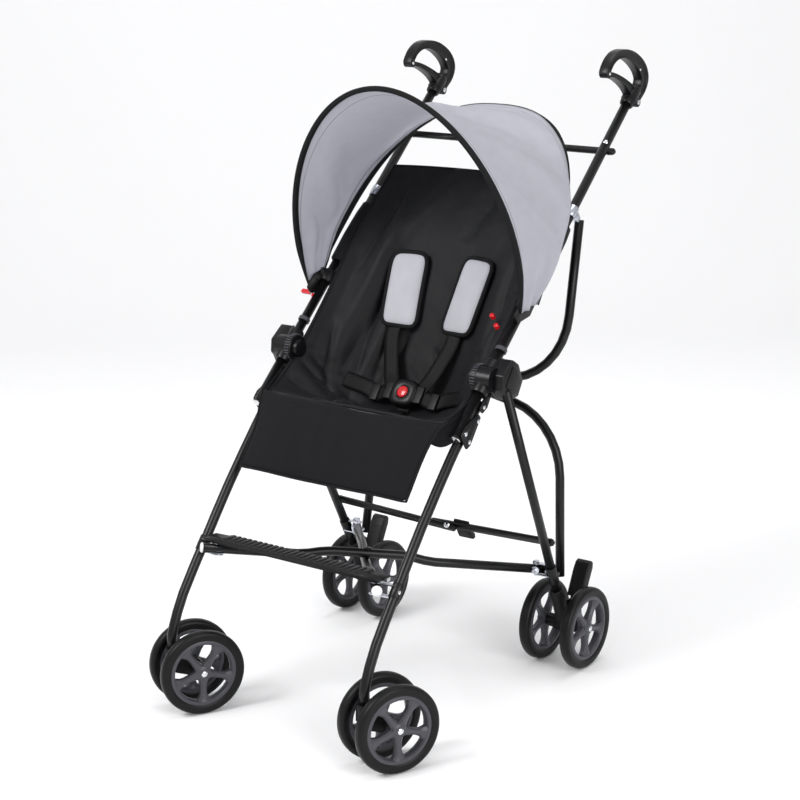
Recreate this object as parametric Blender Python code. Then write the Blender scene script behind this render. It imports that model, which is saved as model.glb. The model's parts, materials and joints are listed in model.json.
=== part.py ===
"""Umbrella-fold stroller with a crossed base and a crossed back frame, at real size.

Metres, +Z up, front towards -Y, origin on the ground below the middle of the object's outer box.
The right side is modelled and the left side is its mirror image.
"""

import math

import bmesh
import bpy
from mathutils import Quaternion, Vector

# Fits
GAP = 0.0003            # clearance between pieces that touch
RUN = 0.0008            # running clearance of a turning piece
TUBE_SIDES = 10

# Handle tubes
HANDLE_D = 0.0165
HANDLE_X = 0.2065
HANDLE_FOOT = (0.2591, 0.4816)      # y, z of the lower end
HANDLE_ANGLE = math.radians(42.6)
HANDLE_LENGTH = 0.6915              # lower end to grip socket
END_CAP_D = 0.0178
END_CAP_T = 0.003

# Grips
GRIP_WIDTH = 0.026
GRIP_BAND = 0.0095
SOCKET_WIDTH = 0.027
SOCKET_COVER = 0.030                # tube length inside the socket

# Front legs
FRONT_LEG_D = 0.0170
FRONT_LEG_X = 0.2018
PLATE_T = 0.0025

# Swivels and wheels
SWIVEL_Y = 0.0156
FORK_TRAIL = 0.0409
YAW_RIGHT = math.radians(-24.9)
YAW_LEFT = math.radians(-29.1)
WHEEL_R = 0.0725
TYRE_SEAT_R = 0.0568
TYRE_WIDTH = 0.0200
RIM_WIDTH = 0.0172
RIM_INNER_R = 0.0470
SPOKES = 5
SPOKE_WIDTH = 0.0115
HUB_R = 0.0135
BORE_R = 0.0043
AXLE_R = BORE_R - RUN
FRONT_PAIR_GAP = 0.040
REAR_PAIR_GAP = 0.063
WHEEL_SEGMENTS = 24

# Rear legs
REAR_LEG_D = 0.0160
REAR_AXLE_X = 0.2203
REAR_AXLE_Y = 0.5673
REAR_LEG_TOP = (0.2400, 0.3518, 0.5450)
FOOT_SOCKET_Z = 0.1180

# Crossed back tubes
BACK_D = 0.0160
BACK_LOW = (0.2145, 0.5612, 0.1660)
BACK_HIGH = (0.2087, 0.6239, 0.7793)
BACK_CROSS_Z = 0.4735
BACK_BEND_R = 0.130

# Crossed base tubes
BASE_D = 0.0160
BASE_FRONT = (0.1650, 0.0974, 0.2700)
BASE_REAR = (0.2012, 0.5182, 0.1833)
BASE_PLUG = 0.0270                  # tube length past its bolt
CLEVIS_T = 0.0020

# Bars across the frame
UPPER_BAR_H = 0.0120
UPPER_BAR_T = 0.0045
UPPER_BAR_DROP = 0.0795             # below the grip socket, along the handle tube
UPPER_BAR_U = HANDLE_LENGTH - UPPER_BAR_DROP
LOCK_BAR_H = 0.0135
LOCK_BAR_T = 0.0050
LOCK_BAR_Z = 0.2327
LOCK_BAR_SAG = 0.0100
LAP = 0.0300                        # overlap of two bar halves past the middle

# Footrest
FOOTREST_DEPTH = 0.0300
FOOTREST_T = 0.0100
FOOTREST_RIBS = 26

# Canopy
CANOPY_HALF_WIDTH = 0.2225
CANOPY_FRONT_TOP = (0.3432, 1.0155)
CANOPY_FRONT_FOOT = (0.4220, 0.6560)
CANOPY_FRONT_FLARE = 0.0620
CANOPY_REAR_TOP = (0.6670, 0.9697)
CANOPY_REAR_FOOT = (0.4650, 0.6640)
CANOPY_REAR_FLARE = 0.1230
BOW_D = 0.0080
CANOPY_T = 0.0030

# Seat
SEAT_T = 0.0070
PANEL_T = 0.0100


def clear_scene():
    for item in list(bpy.data.objects):
        bpy.data.objects.remove(item, do_unlink=True)


def material(name, colour, roughness, metallic=0.0):
    made = bpy.data.materials.new(name)
    made.use_nodes = True
    shader = made.node_tree.nodes["Principled BSDF"]
    shader.inputs["Base Color"].default_value = (*colour, 1.0)
    shader.inputs["Roughness"].default_value = roughness
    shader.inputs["Metallic"].default_value = metallic
    return made


BLACK_PAINT = (0.010, 0.010, 0.011)
BLACK_PLASTIC = (0.013, 0.013, 0.014)
RIM_GREY = (0.060, 0.060, 0.066)
ZINC = (0.62, 0.63, 0.66)
TYRE_BLACK = (0.016, 0.016, 0.017)
SEAT_BLACK = (0.018, 0.018, 0.021)
CANOPY_GREY = (0.46, 0.46, 0.50)
BUTTON_RED = (0.70, 0.010, 0.015)


def new_object(name, bm, origin=(0.0, 0.0, 0.0)):
    """A mesh object whose own origin lies at a world point."""
    bmesh.ops.recalc_face_normals(bm, faces=bm.faces)
    bmesh.ops.translate(bm, verts=bm.verts, vec=-Vector(origin))
    mesh = bpy.data.meshes.new(name)
    bm.to_mesh(mesh)
    bm.free()
    thing = bpy.data.objects.new(name, mesh)
    thing.location = origin
    bpy.context.scene.collection.objects.link(thing)
    return thing


def finish(thing, colour, roughness, metallic=0.0, smooth=35.0):
    """Gives the piece its own material and smooth shading between sharp edges."""
    thing.data.materials.clear()
    thing.data.materials.append(material(thing.name + "_finish", colour, roughness, metallic))
    thing.data.shade_smooth()
    thing.data.set_sharp_from_angle(angle=math.radians(smooth))
    return thing


def combine(target, tool, operation):
    """Joins or cuts with an exact Boolean and drops the tool."""
    change = target.modifiers.new("shape", "BOOLEAN")
    change.operation = operation
    change.solver = "EXACT"
    change.object = tool
    bpy.context.view_layer.update()
    graph = bpy.context.evaluated_depsgraph_get()
    result = bpy.data.meshes.new_from_object(target.evaluated_get(graph))
    target.modifiers.clear()
    target.data = result
    bpy.data.objects.remove(tool, do_unlink=True)
    return target


def join(target, *tools):
    for tool in tools:
        combine(target, tool, "UNION")
    return target


def cut(target, *tools):
    for tool in tools:
        combine(target, tool, "DIFFERENCE")
    return target


def mirrored(source, name):
    """The left-hand twin of a right-hand piece."""
    bpy.context.view_layer.update()
    bm = bmesh.new()
    bm.from_mesh(source.data)
    bmesh.ops.transform(bm, matrix=source.matrix_world, verts=bm.verts)
    bmesh.ops.scale(bm, vec=(-1.0, 1.0, 1.0), verts=bm.verts)
    bmesh.ops.reverse_faces(bm, faces=bm.faces)
    place = source.matrix_world.translation
    return new_object(name, bm, (-place.x, place.y, place.z))


def loft(rings, closed=False):
    """Skins a row of equal rings and caps the two ends, or joins last to first."""
    bm = bmesh.new()
    rows = [[bm.verts.new(point) for point in ring] for ring in rings]
    count = len(rows[0])
    pairs = list(zip(rows, rows[1:]))
    if closed:
        pairs.append((rows[-1], rows[0]))
    for low, high in pairs:
        for k in range(count):
            nxt = (k + 1) % count
            bm.faces.new((low[k], low[nxt], high[nxt], high[k]))
    if not closed:
        bm.faces.new(rows[0])
        bm.faces.new(rows[-1])
    return bm


def sweep(path, radius, sides=TUBE_SIDES, start=None):
    """A round tube solid along a path, without twist; the radius may be a list."""
    points = [Vector(point) for point in path]
    radii = radius if isinstance(radius, list) else [radius] * len(points)
    tangents = []
    for k in range(len(points)):
        before = points[max(k - 1, 0)]
        after = points[min(k + 1, len(points) - 1)]
        tangents.append((after - before).normalized())
    side = Vector(start) if start else tangents[0].orthogonal()
    rings = []
    for point, tangent, r in zip(points, tangents, radii):
        side = (side - tangent * side.dot(tangent)).normalized()
        other = tangent.cross(side)
        ring = []
        for k in range(sides):
            turn = 2.0 * math.pi * (k + 0.5) / sides
            ring.append(point + r * (side * math.cos(turn) + other * math.sin(turn)))
        rings.append(ring)
    return loft(rings)


def rod(name, start, end, radius, sides=TUBE_SIDES, side=None):
    return new_object(name, sweep([start, end], radius, sides, side))


def turned(profile, centre, axis, segments):
    """A solid of revolution: profile points are (distance along the axis, radius)."""
    axis = Vector(axis).normalized()
    side = axis.orthogonal().normalized()
    other = axis.cross(side)
    centre = Vector(centre)
    rings = []
    for along, radius in profile:
        ring = []
        for k in range(segments):
            turn = 2.0 * math.pi * k / segments
            ring.append(centre + axis * along + radius * (side * math.cos(turn) + other * math.sin(turn)))
        rings.append(ring)
    return loft(rings)


def smooth_path(points, steps):
    """A Catmull-Rom curve through the points, with a few steps for each span."""
    knots = [Vector(point) for point in points]
    path = []
    for k in range(len(knots) - 1):
        a = knots[max(k - 1, 0)]
        b = knots[k]
        c = knots[k + 1]
        d = knots[min(k + 2, len(knots) - 1)]
        for n in range(steps):
            t = n / steps
            path.append(0.5 * (2.0 * b + (c - a) * t + (2.0 * a - 5.0 * b + 4.0 * c - d) * t * t
                               + (3.0 * b - a - 3.0 * c + d) * t ** 3))
    path.append(knots[-1])
    return path


def bent_path(corners, radius, steps=4):
    """Straight runs through the corners with a round bend at each inner one."""
    corners = [Vector(corner) for corner in corners]
    path = [corners[0]]
    for before, corner, after in zip(corners, corners[1:], corners[2:]):
        arrive = (corner - before).normalized()
        leave = (after - corner).normalized()
        turn = arrive.angle(leave)
        setback = radius * math.tan(turn / 2.0)
        centre_way = (leave - arrive).normalized()
        centre = corner + centre_way * (radius / math.cos(turn / 2.0))
        first = corner - arrive * setback - centre
        spin = arrive.cross(leave).normalized()
        for n in range(steps + 1):
            path.append(centre + Quaternion(spin, turn * n / steps) @ first)
    path.append(corners[-1])
    return path


def prism(outline, direction):
    """An outline in space pushed along a direction."""
    direction = Vector(direction)
    near = [Vector(point) for point in outline]
    return loft([near, [point + direction for point in near]])


def rounded(outline, radius, steps=3):
    """Rounds the corners of a flat outline of 2-D points."""
    points = [Vector((u, v)) for u, v in outline]
    result = []
    count = len(points)
    for k in range(count):
        corner = points[k]
        arrive = (corner - points[k - 1]).normalized()
        leave = (points[(k + 1) % count] - corner).normalized()
        turn = arrive.angle_signed(leave)
        setback = radius * math.tan(abs(turn) / 2.0)
        first = corner - arrive * setback
        last = corner + leave * setback
        for n in range(steps + 1):
            t = n / steps
            result.append((1 - t) ** 2 * first + 2 * t * (1 - t) * corner + t * t * last)
    return result


# Directions along the handle tube and across it
ALONG = Vector((0.0, math.cos(HANDLE_ANGLE), math.sin(HANDLE_ANGLE)))
ACROSS = Vector((0.0, -math.sin(HANDLE_ANGLE), math.cos(HANDLE_ANGLE)))
HANDLE_BASE = Vector((HANDLE_X, *HANDLE_FOOT))


def on_handle(along, across=0.0, outward=0.0):
    """A point given along the right handle tube, across it and outward from it."""
    return HANDLE_BASE + ALONG * along + ACROSS * across + Vector((outward, 0.0, 0.0))


def outline_on_handle(points, outward):
    return [on_handle(u, v, outward) for u, v in points]


def handle_tube():
    r = HANDLE_D / 2
    profile = [(-END_CAP_T, 0.7 * END_CAP_D / 2), (-END_CAP_T / 2, END_CAP_D / 2), (0.0, END_CAP_D / 2),
               (0.0, r), (HANDLE_LENGTH + SOCKET_COVER - GAP, r)]
    tube = new_object("handle_tube_right", turned(profile, HANDLE_BASE, ALONG, 12), HANDLE_BASE)
    return finish(tube, BLACK_PAINT, 0.28)


# Grip: a socket with a curved arm, and an arch bolted to it at both ends
ARM_OUTLINE = [(-0.012, -0.0135), (-0.012, 0.0135), (0.002, 0.0155), (0.0135, 0.0240), (0.0155, 0.0400),
               (0.0130, 0.0600), (0.0044, 0.0850), (-0.0020, 0.0952), (0.0120, 0.0982), (0.0213, 0.0729),
               (0.0322, 0.0497), (0.0392, 0.0268), (0.0410, 0.0090), (0.0400, -0.0135)]
ARCH_LINE = [(-0.0030, 0.1006), (0.0080, 0.1034), (0.0240, 0.1070), (0.0450, 0.0995), (0.0640, 0.0800),
             (0.0830, 0.0480), (0.0940, 0.0120), (0.0915, -0.0080), (0.0760, -0.0175)]


def grip_point(u, v, x):
    return on_handle(HANDLE_LENGTH + u, v, x)


def grip_socket():
    half = SOCKET_WIDTH / 2
    outline = [grip_point(u, v, -half) for u, v in ARM_OUTLINE]
    body = new_object("grip_socket_right", prism(outline, (SOCKET_WIDTH, 0, 0)), on_handle(HANDLE_LENGTH))
    bore = rod("bore", grip_point(-0.020, 0, 0), grip_point(SOCKET_COVER, 0, 0), HANDLE_D / 2 + GAP, 12)
    collar = new_object("collar", turned([(-0.016, 0.0118), (-0.010, 0.0130), (-0.004, 0.0130)],
                                         on_handle(HANDLE_LENGTH), ALONG, 16))
    return finish(cut(join(body, collar), bore), BLACK_PLASTIC, 0.32)


def grip_arch():
    """A flat band bent round the hand opening, its tail flat against the socket's back."""
    seat = -(SOCKET_WIDTH / 2 + GAP + GRIP_BAND / 2)
    line = [Vector(point) for point in ARCH_LINE + [(0.0560, seat), (0.0220, seat)]]
    line = smooth_path([Vector((0.0, *point)) for point in line], 3)
    outer = []
    inner = []
    for k, point in enumerate(line):
        way = (line[min(k + 1, len(line) - 1)] - line[max(k - 1, 0)]).normalized()
        normal = Vector((0.0, -way.z, way.y)) * (GRIP_BAND / 2)
        outer.append(grip_point((point + normal).y, (point + normal).z, -GRIP_WIDTH / 2))
        inner.append(grip_point((point - normal).y, (point - normal).z, -GRIP_WIDTH / 2))
    band = new_object("grip_arch_right", prism(outer + inner[::-1], (GRIP_WIDTH, 0, 0)),
                      on_handle(HANDLE_LENGTH, seat))
    return finish(band, BLACK_PLASTIC, 0.30)


# Hub
HUB_U = 0.1166                      # along the handle tube
BARREL_R = 0.0235
BARREL_IN = -0.0225                 # from the handle tube's axis, inward
WEDGE_IN = 0.0170
WEDGE_OUT = 0.0540
WEDGE_OUTLINE = [(0.1560, 0.0070), (0.1610, -0.0120), (0.1500, -0.0420), (0.1230, -0.0500),
                 (0.1020, -0.0330), (0.1030, -0.0040), (0.1200, 0.0110)]
EAR_OUTLINE = [(0.0660, -0.0110), (0.0660, -0.0240), (0.0800, -0.0280), (0.1040, -0.0220), (0.1040, -0.0098)]
EAR_SCREW = (0.0745, -0.0178)
X_AXIS = Vector((1.0, 0.0, 0.0))
LEG_WAY = (Vector((REAR_AXLE_X, REAR_AXLE_Y, WHEEL_R)) - Vector(REAR_LEG_TOP)).normalized()


def hub():
    centre = on_handle(HUB_U)
    sleeve = turned([(-0.030, 0.0125), (-0.027, 0.0135), (0.030, 0.0135), (0.034, 0.0118)], centre, ALONG, 12)
    body = new_object("hub_right", sleeve, centre)
    barrel = turned([(BARREL_IN - 0.006, 0.0120), (BARREL_IN - 0.0045, 0.0150), (BARREL_IN + 0.003, 0.0155),
                     (BARREL_IN + 0.003, BARREL_R - 0.002), (BARREL_IN + 0.005, BARREL_R),
                     (BARREL_IN + 0.015, BARREL_R), (BARREL_IN + 0.016, BARREL_R - 0.0015),
                     (WEDGE_IN + 0.002, BARREL_R - 0.0035)], centre, X_AXIS, 16)
    wedge_shape = [tuple(p) for p in rounded(WEDGE_OUTLINE, 0.0055, 2)]
    wedge = prism(outline_on_handle(wedge_shape, WEDGE_IN), (WEDGE_OUT - WEDGE_IN, 0, 0))
    ear_x = FRONT_LEG_X + FRONT_LEG_D / 2 + GAP - HANDLE_X
    ear_shape = [tuple(p) for p in rounded(EAR_OUTLINE, 0.0040, 2)]
    ear = prism(outline_on_handle(ear_shape, ear_x), (0.0042, 0, 0))
    screw = turned([(0, 0.0036), (0.0055, 0.0036), (0.0062, 0.0024)], on_handle(*EAR_SCREW, ear_x), X_AXIS, 8)
    join(body, new_object("barrel", barrel), new_object("wedge", wedge), new_object("ear", ear),
         new_object("screw", screw))
    bore = rod("bore", on_handle(HUB_U - 0.06), on_handle(HUB_U + 0.06), HANDLE_D / 2 + GAP, 12)
    top = Vector(REAR_LEG_TOP)
    leg_bore = rod("leg_bore", top - LEG_WAY * GAP, top + LEG_WAY * 0.08, REAR_LEG_D / 2 + GAP, 12)
    return finish(cut(body, bore, leg_bore), BLACK_PLASTIC, 0.38)


# Front leg, from the ear at the hub down to the swivel
FRONT_LEG_DROP = [(0.1700, 0.3560), (0.1080, 0.2770), (0.0480, 0.1985), (0.0215, 0.1480)]
SWIVEL_TOP = 0.1120
JOIN_OUTLINE = [(-0.0040, -0.0250), (0.0020, 0.0035), (0.0180, 0.0045), (0.0560, -0.0100), (0.0560, -0.0200),
                (0.0080, -0.0285)]
JOIN_SCREWS = [(0.0080, -0.0200), (0.0460, -0.0160), (0.0115, -0.0020)]


def front_leg_path():
    head = [on_handle(0.0820, -0.0178), on_handle(0.0060, -0.0181), on_handle(-0.0350, -0.0198)]
    points = [(p.y, p.z) for p in head] + FRONT_LEG_DROP + [(SWIVEL_Y, SWIVEL_TOP + FRONT_LEG_D)]
    foot = Vector((FRONT_LEG_X, SWIVEL_Y, SWIVEL_TOP + GAP))
    return smooth_path([(FRONT_LEG_X, y, z) for y, z in points], 2) + [foot]


def front_leg():
    path = front_leg_path()
    leg = new_object("front_leg_right", sweep(path, FRONT_LEG_D / 2, 12, X_AXIS), (FRONT_LEG_X, SWIVEL_Y, SWIVEL_TOP))
    plate_x = HANDLE_D / 2 + GAP
    shape = [tuple(p) for p in rounded(JOIN_OUTLINE, 0.0035, 2)]
    plate = prism(outline_on_handle(shape, plate_x), (PLATE_T, 0, 0))
    join(leg, new_object("plate", plate))
    inner = FRONT_LEG_X - HANDLE_X
    for number, (u, v) in enumerate(JOIN_SCREWS):
        start = inner if number < 2 else plate_x + 0.0005
        length = plate_x + PLATE_T + 0.0012 - start
        boss = turned([(0, 0.0034), (length - 0.0006, 0.0034), (length, 0.0024)], on_handle(u, v, start), X_AXIS, 8)
        join(leg, new_object("boss", boss))
    return finish(leg, BLACK_PAINT, 0.28)


def rear_leg():
    top = Vector(REAR_LEG_TOP)
    drop = (FOOT_SOCKET_Z - top.z) / LEG_WAY.z
    leg = rod("rear_leg_right", top, top + LEG_WAY * drop, REAR_LEG_D / 2, 12)
    return finish(leg, BLACK_PAINT, 0.28)


def leg_point(z):
    top = Vector(REAR_LEG_TOP)
    return top + LEG_WAY * ((z - top.z) / LEG_WAY.z)


# Canopy clip and its outboard bow plate
CLIP_U = 0.2700
CLIP_PLATE = [(-0.0430, 0.0240), (-0.0430, 0.0060), (-0.0140, -0.0130), (0.0140, -0.0110), (0.0140, 0.0080),
              (-0.0140, 0.0250)]
CLIP_LEVER = [(-0.0080, 0.0100), (0.0060, 0.0100), (0.0030, 0.0240), (-0.0050, 0.0240)]


def canopy_clip():
    ring = turned([(-0.012, 0.0108), (-0.010, 0.0120), (0.010, 0.0120), (0.012, 0.0108)], on_handle(CLIP_U), ALONG, 12)
    clip = new_object("canopy_clip_right", ring, on_handle(CLIP_U))
    outer = CANOPY_HALF_WIDTH - BOW_D / 2 - GAP - HANDLE_X
    shape = [(CLIP_U + p.x, p.y) for p in rounded(CLIP_PLATE, 0.005, 2)]
    plate = prism(outline_on_handle(shape, HANDLE_D / 2 + GAP), (outer - HANDLE_D / 2 - GAP, 0, 0))
    lever_shape = [(CLIP_U + u, v) for u, v in CLIP_LEVER]
    lever = prism(outline_on_handle(lever_shape, -0.003), (0.006, 0, 0))
    bore = rod("bore", on_handle(CLIP_U - 0.03), on_handle(CLIP_U + 0.03), HANDLE_D / 2 + GAP, 12)
    join(clip, new_object("plate", plate), new_object("lever", lever))
    return finish(cut(clip, bore), BLACK_PLASTIC, 0.35)


# Upper bracket: a band round the handle tube with a tab that stands in front of the back tube
TOP_BRACKET_U = 0.4643


def top_bracket():
    ring = turned([(-0.010, 0.0100), (0.010, 0.0100)], on_handle(TOP_BRACKET_U), ALONG, 12)
    bracket = new_object("top_bracket_right", ring, on_handle(TOP_BRACKET_U))
    shape = [(TOP_BRACKET_U - 0.008, -0.0092), (TOP_BRACKET_U - 0.004, -0.0218), (TOP_BRACKET_U + 0.006, -0.0218),
             (TOP_BRACKET_U + 0.008, -0.0092)]
    tab = prism(outline_on_handle(shape, -0.007), (0.014, 0, 0))
    bore = rod("bore", on_handle(TOP_BRACKET_U - 0.03), on_handle(TOP_BRACKET_U + 0.03), HANDLE_D / 2 + GAP, 12)
    return finish(cut(join(bracket, new_object("tab", tab)), bore), ZINC, 0.30, 1.0)


BASE_SLOPE = (BASE_FRONT[2] - BASE_REAR[2]) / (BASE_REAR[1] - BASE_FRONT[1])
BASE_NORMAL = Vector((0.0, BASE_SLOPE, 1.0)).normalized()
PLATE_LIFT = BASE_D / 2 + 0.0005


def clevis(name, leg_at, leg_way, leg_r, bolt, skirt=0.0):
    """A band round a leg with a plate above and a plate below the base tube's end."""
    leg_at = Vector(leg_at)
    bolt = Vector(bolt)
    length = PLATE_LIFT + CLEVIS_T + 0.002
    ring = turned([(-length, leg_r + 0.0016), (length + skirt, leg_r + 0.0016)], leg_at, leg_way, 12)
    bracket = new_object(name, ring, leg_at)
    reach = leg_at - bolt
    reach = (reach - BASE_NORMAL * reach.dot(BASE_NORMAL))
    side = BASE_NORMAL.cross(reach).normalized()
    way = reach.normalized()
    for lift in (PLATE_LIFT, -PLATE_LIFT - CLEVIS_T):
        outline = []
        for k in range(7):
            turn = math.pi * (k / 6 + 0.5)
            outline.append(bolt + 0.010 * (way * math.cos(turn) + side * math.sin(turn)))
        outline += [bolt + reach - side * 0.007, bolt + reach + side * 0.007]
        outline = [point + BASE_NORMAL * lift for point in outline]
        join(bracket, new_object("leaf", prism(outline, BASE_NORMAL * CLEVIS_T)))
    return bracket


def front_leg_at(z):
    path = front_leg_path()
    for a, b in zip(path, path[1:]):
        if b.z <= z <= a.z:
            t = (a.z - z) / (a.z - b.z)
            return a.lerp(b, t), (b - a).normalized()
    return path[-1], Vector((0.0, 0.0, -1.0))


def front_bracket():
    at, way = front_leg_at(BASE_FRONT[2])
    bracket = clevis("front_bracket_right", at, way, FRONT_LEG_D / 2, BASE_FRONT)
    path = front_leg_path()
    near = [point for point in path if abs(point.z - at.z) < 0.09]
    bore = new_object("bore", sweep(near, FRONT_LEG_D / 2 + GAP, 12, X_AXIS))
    return finish(cut(bracket, bore), ZINC, 0.30, 1.0)


BACK_TAB_T = 0.0060                 # tab that carries the back tube's lower end
BACK_TAB_SKIRT = 0.0100


def rear_bracket():
    at = leg_point(BASE_REAR[2])
    bracket = clevis("rear_bracket_right", at, LEG_WAY, REAR_LEG_D / 2, BASE_REAR, BACK_TAB_SKIRT)
    back = Vector(BACK_LOW)
    face = back.y - BACK_D / 2 - GAP
    mid = leg_point(back.z)
    outline = [(back.x - 0.007, mid.y, back.z - 0.001), (back.x + 0.009, mid.y, back.z - 0.001),
               (back.x + 0.005, face, back.z - 0.001), (back.x - 0.005, face, back.z - 0.001)]
    tab = new_object("tab", prism(outline, (0.0, 0.0, BACK_TAB_T)))
    bore = rod("bore", leg_point(back.z - 0.08), leg_point(back.z + 0.10), REAR_LEG_D / 2 + GAP, 12)
    return finish(cut(join(bracket, tab), bore), ZINC, 0.30, 1.0)


# Wheels: a moulded five-spoke rim and a solid tyre, both turned about X round their own origin
def tyre_mesh():
    half = TYRE_WIDTH / 2
    shoulder = WHEEL_R - 0.0062
    profile = [(TYRE_SEAT_R, -half), (shoulder, -half), (WHEEL_R, -half + 0.0055), (WHEEL_R, half - 0.0055),
               (shoulder, half), (TYRE_SEAT_R, half)]
    rings = []
    for k in range(WHEEL_SEGMENTS):
        turn = 2.0 * math.pi * k / WHEEL_SEGMENTS - math.pi / 2
        rings.append([Vector((x, r * math.cos(turn), r * math.sin(turn))) for r, x in profile])
    return new_object("tyre", loft(rings, closed=True)).data


def rim_mesh():
    half = RIM_WIDTH / 2
    outer = TYRE_SEAT_R - GAP
    profile = [(outer, -half), (outer, half), (RIM_INNER_R, half - 0.0025), (RIM_INNER_R, -half + 0.0025)]
    rings = []
    for k in range(WHEEL_SEGMENTS):
        turn = 2.0 * math.pi * k / WHEEL_SEGMENTS
        rings.append([Vector((x, r * math.cos(turn), r * math.sin(turn))) for r, x in profile])
    rim = new_object("rim", loft(rings, closed=True))
    spread = math.pi / SPOKES
    outline = []
    for k in range(SPOKES):
        middle = 2.0 * spread * k + math.pi / 2
        for radius, sideways in ((0.0180, -0.0065), (0.0330, -SPOKE_WIDTH / 2 + 0.0008),
                                 (0.0500, -SPOKE_WIDTH / 2 - 0.0012), (0.0500, SPOKE_WIDTH / 2 + 0.0012),
                                 (0.0330, SPOKE_WIDTH / 2 - 0.0008), (0.0180, 0.0065)):
            y = radius * math.cos(middle) - sideways * math.sin(middle)
            z = radius * math.sin(middle) + sideways * math.cos(middle)
            outline.append((-0.0045, y, z))
    star = new_object("star", prism(outline, (0.0090, 0, 0)))
    hub_part = turned([(-half, HUB_R - 0.001), (-half + 0.002, HUB_R), (half - 0.002, HUB_R), (half, HUB_R - 0.001)],
                      (0, 0, 0), X_AXIS, 14)
    join(rim, star, new_object("wheel_hub", hub_part))
    return cut(rim, rod("bore", (-0.03, 0, 0), (0.03, 0, 0), BORE_R, 10)).data


def axle(half, name="axle"):
    """A pin with a domed head at each end, along X round its own origin."""
    profile = [(-half - 0.0018, 0.0040), (-half - 0.0006, 0.0058), (-half, 0.0058), (-half, AXLE_R),
               (half, AXLE_R), (half, 0.0058), (half + 0.0006, 0.0058), (half + 0.0018, 0.0040)]
    return new_object(name, turned(profile, (0, 0, 0), X_AXIS, 10))


def wheel_pair(label, parent, centre, gap, rim_data, tyre_data):
    """Two rims and tyres beside a fork or a foot, in the parent's frame."""
    for place, sign in (("inner", -1.0), ("outer", 1.0)):
        if label.endswith("left"):
            sign = -sign
        shift = Vector((sign * (gap / 2 + TYRE_WIDTH / 2), 0.0, 0.0))
        for kind, data, colour, rough in (("rim", rim_data, RIM_GREY, 0.42), ("tyre", tyre_data, TYRE_BLACK, 0.6)):
            wheel = bpy.data.objects.new(f"{kind}_{label}_{place}", data.copy())
            bpy.context.scene.collection.objects.link(wheel)
            wheel.parent = parent
            wheel.location = Vector(centre) + shift
            finish(wheel, colour, rough)


def swivel(side, yaw):
    """An empty on the swivel axis, turned to the swivel's angle."""
    sign = 1.0 if side == "right" else -1.0
    pivot = bpy.data.objects.new(f"swivel_{side}", None)
    pivot.location = (sign * FRONT_LEG_X, SWIVEL_Y, 0.0)
    pivot.rotation_euler = (0.0, 0.0, yaw)
    bpy.context.scene.collection.objects.link(pivot)
    return pivot


def caster_fork(side, pivot):
    """The swivel collar with a trailing arm between the two wheels, and the axle."""
    barrel_half = FRONT_PAIR_GAP / 2 + (TYRE_WIDTH - RIM_WIDTH) / 2 - GAP
    collar = [(0.0800, 0.0112), (0.0840, 0.0128), (0.1080, 0.0128), (SWIVEL_TOP, 0.0112)]
    fork = new_object("fork", turned(collar, (0, 0, 0), (0, 0, 1), 14))
    arm_shape = [(-0.0110, 0.1040), (-0.0116, 0.0840), (0.0020, 0.0700), (0.0300, 0.0600), (0.0480, 0.0610),
                 (0.0520, 0.0740), (0.0440, 0.0860), (0.0200, 0.0930), (0.0100, 0.1040)]
    arm = prism([(-0.0085, y, z) for y, z in arm_shape], (0.0170, 0, 0))
    barrel = turned([(-barrel_half, 0.0120), (barrel_half, 0.0120)], (0, FORK_TRAIL, WHEEL_R), X_AXIS, 14)
    pin = axle(FRONT_PAIR_GAP / 2 + TYRE_WIDTH - (TYRE_WIDTH - RIM_WIDTH) / 2 + GAP)
    pin.location = (0, FORK_TRAIL, WHEEL_R)
    join(fork, new_object("arm", arm), new_object("barrel", barrel), pin)
    fork.name = f"caster_fork_{side}"
    fork.parent = pivot
    return finish(fork, BLACK_PLASTIC, 0.42)


# Rear foot, with the axle, and the brake pedal hinged behind it
PEDAL_X = 0.2260
PEDAL_BEHIND_AXLE = 0.0227
PEDAL_PIVOT = (REAR_AXLE_Y + PEDAL_BEHIND_AXLE, 0.1040)
PEDAL_WIDTH = 0.0270
PEDAL_OUTLINE = [(0.5815, 0.1000), (0.5850, 0.0945), (0.5935, 0.0950), (0.6010, 0.1060), (0.6290, 0.1600),
                 (0.6300, 0.1690), (0.6240, 0.1745), (0.6160, 0.1715), (0.6080, 0.1600), (0.5880, 0.1180)]
FOOT_TOP_Z = 0.1460


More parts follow.
